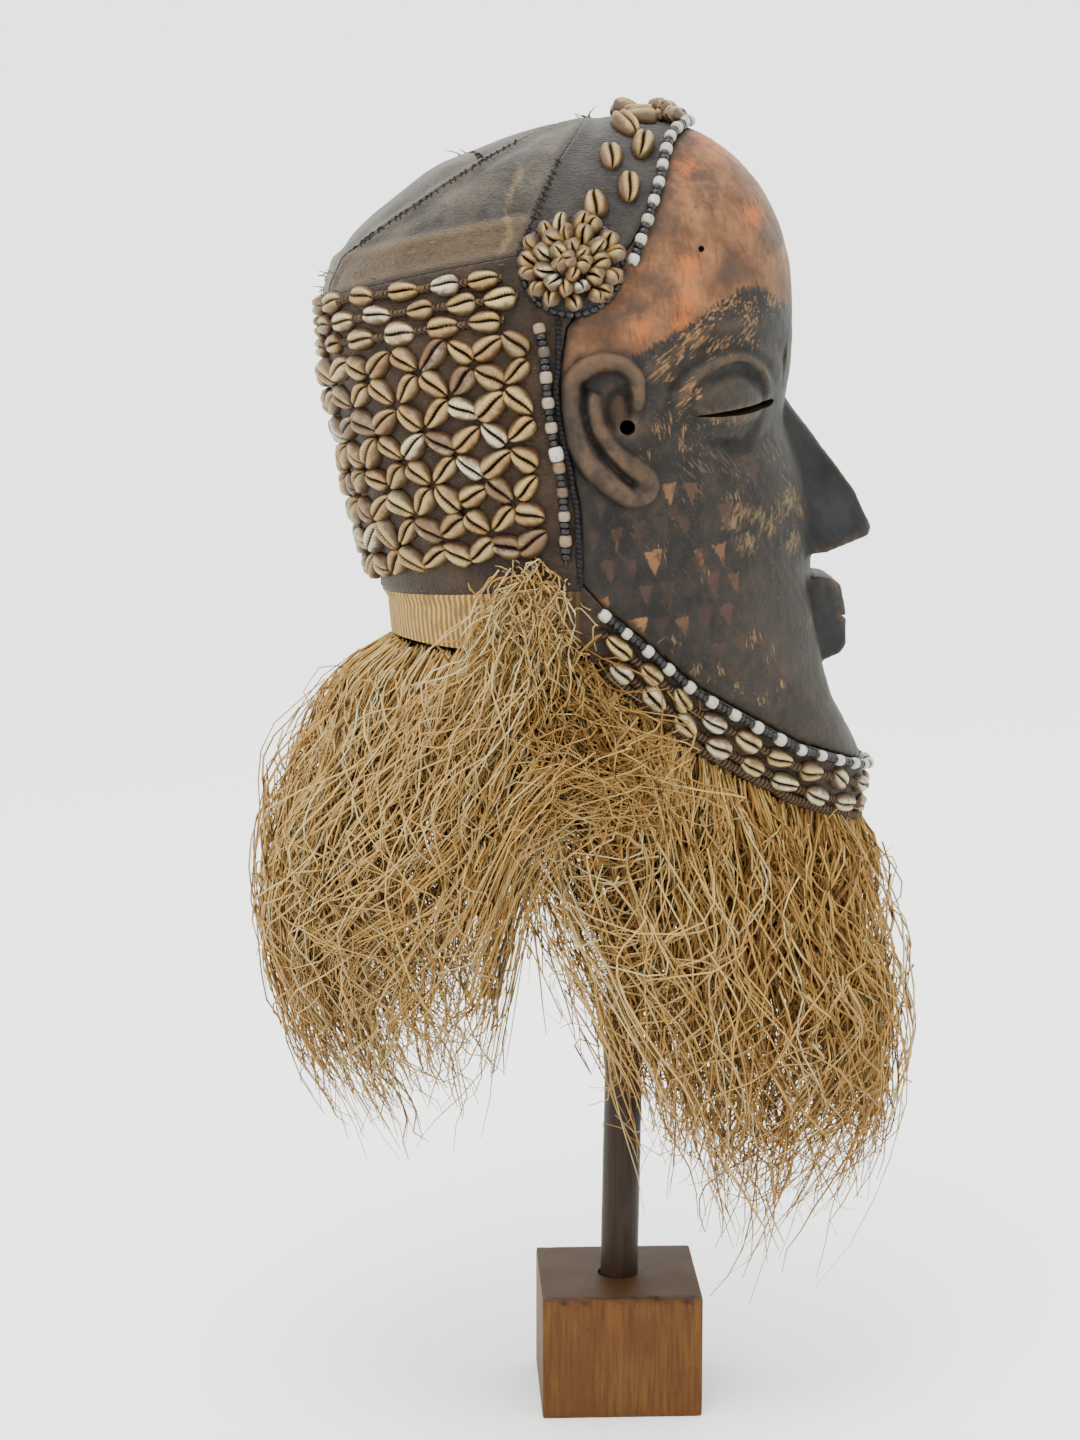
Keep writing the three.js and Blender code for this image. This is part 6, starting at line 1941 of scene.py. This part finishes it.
def beard_sweep(turn, draw):
    """Strips from the band's rear ends fall a little backwards."""
    side_share = np.clip((np.abs(turn) - 1.2) / 0.6, 0, 1)
    return np.sign(turn) * side_share * draw.uniform(-10, 34, turn.shape)


# The core's dark is painted shade deep in the fringe.
core = dict(stations=9, first=(0, 0.1), last=(0.58, 0.11), depth=(0.25, 1.0), wave=9, curl=0, radius=(0.65, 0.95),
            gather=0.0, dark=0.14)
wavy = dict(stations=18, first=(0, 0.02), last=(0.81, 0.16), depth=(0.0, 1.0), curl=22, radius=(0.6, 0.98),
            gather=0.9, cross=14)
stray = dict(stations=16, first=(0.0, 0.5), last=(0.96, 0.13), depth=(-0.25, 0.15), curl=26, radius=(0.48, 0.8),
             gather=0.2, bulge=20, cross=34)
tip = dict(stations=10, first=(0.55, 0.85), last=(1.04, 0.09), depth=(-0.1, 1.0), curl=22, radius=(0.46, 0.74),
           gather=0.0, cross=16)
knot_kind = dict(stations=9, first=(0, 0.08), last=(0.26, 0.08), depth=(-0.1, 0.3), curl=15, radius=(0.42, 0.64),
                 gather=0.0, bulge=6, cross=22)
nape_shape = curtain(nape_axis, math.pi, neck_root, nape_bottom, nape_swing, 36)
beard_shape = curtain(chin_axis, 0.0, chin_root, beard_bottom, beard_swing, 30)
fringe("nape_raffia", "nape_fringe", 51, nape_shape, 100, [
    dict(core, count=420, sweep=nape_sweep), dict(wavy, count=860, wave=18, sweep=nape_sweep),
    dict(stray, count=420, wave=15, sweep=nape_sweep), dict(tip, count=280, wave=8, sweep=nape_sweep),
    dict(knot_kind, count=160, wave=7, sweep=nape_sweep),
])
# The beard's strips hang in the chin's shade, so its kinds are painted darker.
fringe("beard_raffia", "beard_fringe", 52, beard_shape, 124, [
    dict(core, count=460, dark=0.22, sweep=beard_sweep), dict(wavy, count=900, wave=15, dark=0.08, sweep=beard_sweep),
    dict(stray, count=380, wave=13, sweep=beard_sweep), dict(tip, count=300, wave=8, dark=0.05, sweep=beard_sweep),
    dict(knot_kind, count=260, wave=9, dark=0.1, sweep=beard_sweep),
])

# %% [markdown]
# ## Side tufts
# Where the two fringes meet, the ends of the raffia are tied into a bush at each side. Most of its
# strips are short loops. Some run long: they sweep back over the nape's fringe, or wander forward
# below the chin band and hang in slack bows, so that air shows between them.

# %% Side tufts
tuft_forward, tuft_up = -47.0, 413.0


def tuft(hand, label, seed):
    draw = np.random.default_rng(seed)
    spot, normal = beside(tuft_forward, tuft_up, hand)

    def paths(count, stations, spread, aim, length, sag, wave, below=0.0, dark=0.0):
        start = spot + draw.normal(0, 1, (count, 3)) * spread + normal * 2.0 - [hand * 0.3 * below, 0, below]
        way = unit(draw.normal(0, 1, (count, 3)) * aim[1] + np.array(aim[0]) * [hand, 1, 1])
        way[:, 0] = np.abs(way[:, 0]) * hand
        t = np.linspace(0, 1, stations)[None, :, None]
        long = draw.uniform(*length, count)[:, None, None]
        path = start[:, None] + way[:, None] * long * (t - 0.32 * t ** 2)
        path[..., 2] -= (t ** 1.8)[..., 0] * draw.uniform(*sag, count)[:, None] * long[..., 0]
        spin = 2 * np.pi * (t * draw.uniform(0.7, 2.2, (count, 1, 3)) + draw.random((count, 1, 3)))
        path += wave * draw.uniform(0.4, 1, (count, 1, 1)) * np.sin(spin) * np.minimum(1, 2.5 * t)
        path[..., 0] = hand * np.maximum(hand * path[..., 0], 0)
        # A kind given dark is painted darker, as shade.
        tone = np.clip(draw.normal(0.72, 0.18, count) - dark, 0, 1)
        return strips(held_in(path), draw.uniform(0.46, 0.74, count), tone, 0.2 * draw.random(count) + dark)

    loops = paths(280, 11, [1.5, 8, 9], ([0.7, 0.1, 0.3], 0.8), (14, 32), (0.5, 1.6), 5.0)
    swept = paths(130, 15, [1.5, 9, 7], ([0.16, 0.5, -0.85], 0.2), (70, 170), (0.0, 0.25), 9.0)
    # Strips wandering forward under the chin band are painted darker, as shade.
    forward = paths(140, 15, [1.5, 9, 9], ([0.1, -0.5, -0.66], 0.32), (60, 130), (0.05, 0.35), 11.0, 26, 0.35)
    raffia_piece(f"side_tuft_{label}_raffia", [loops, swept, forward], [f"side_tuft_{label}"])


for hand, label in ((-1, "right"), (1, "left")):
    tuft(hand, label, 60 + hand)

# %% Sizes: the bounds of all shown objects
low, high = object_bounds()
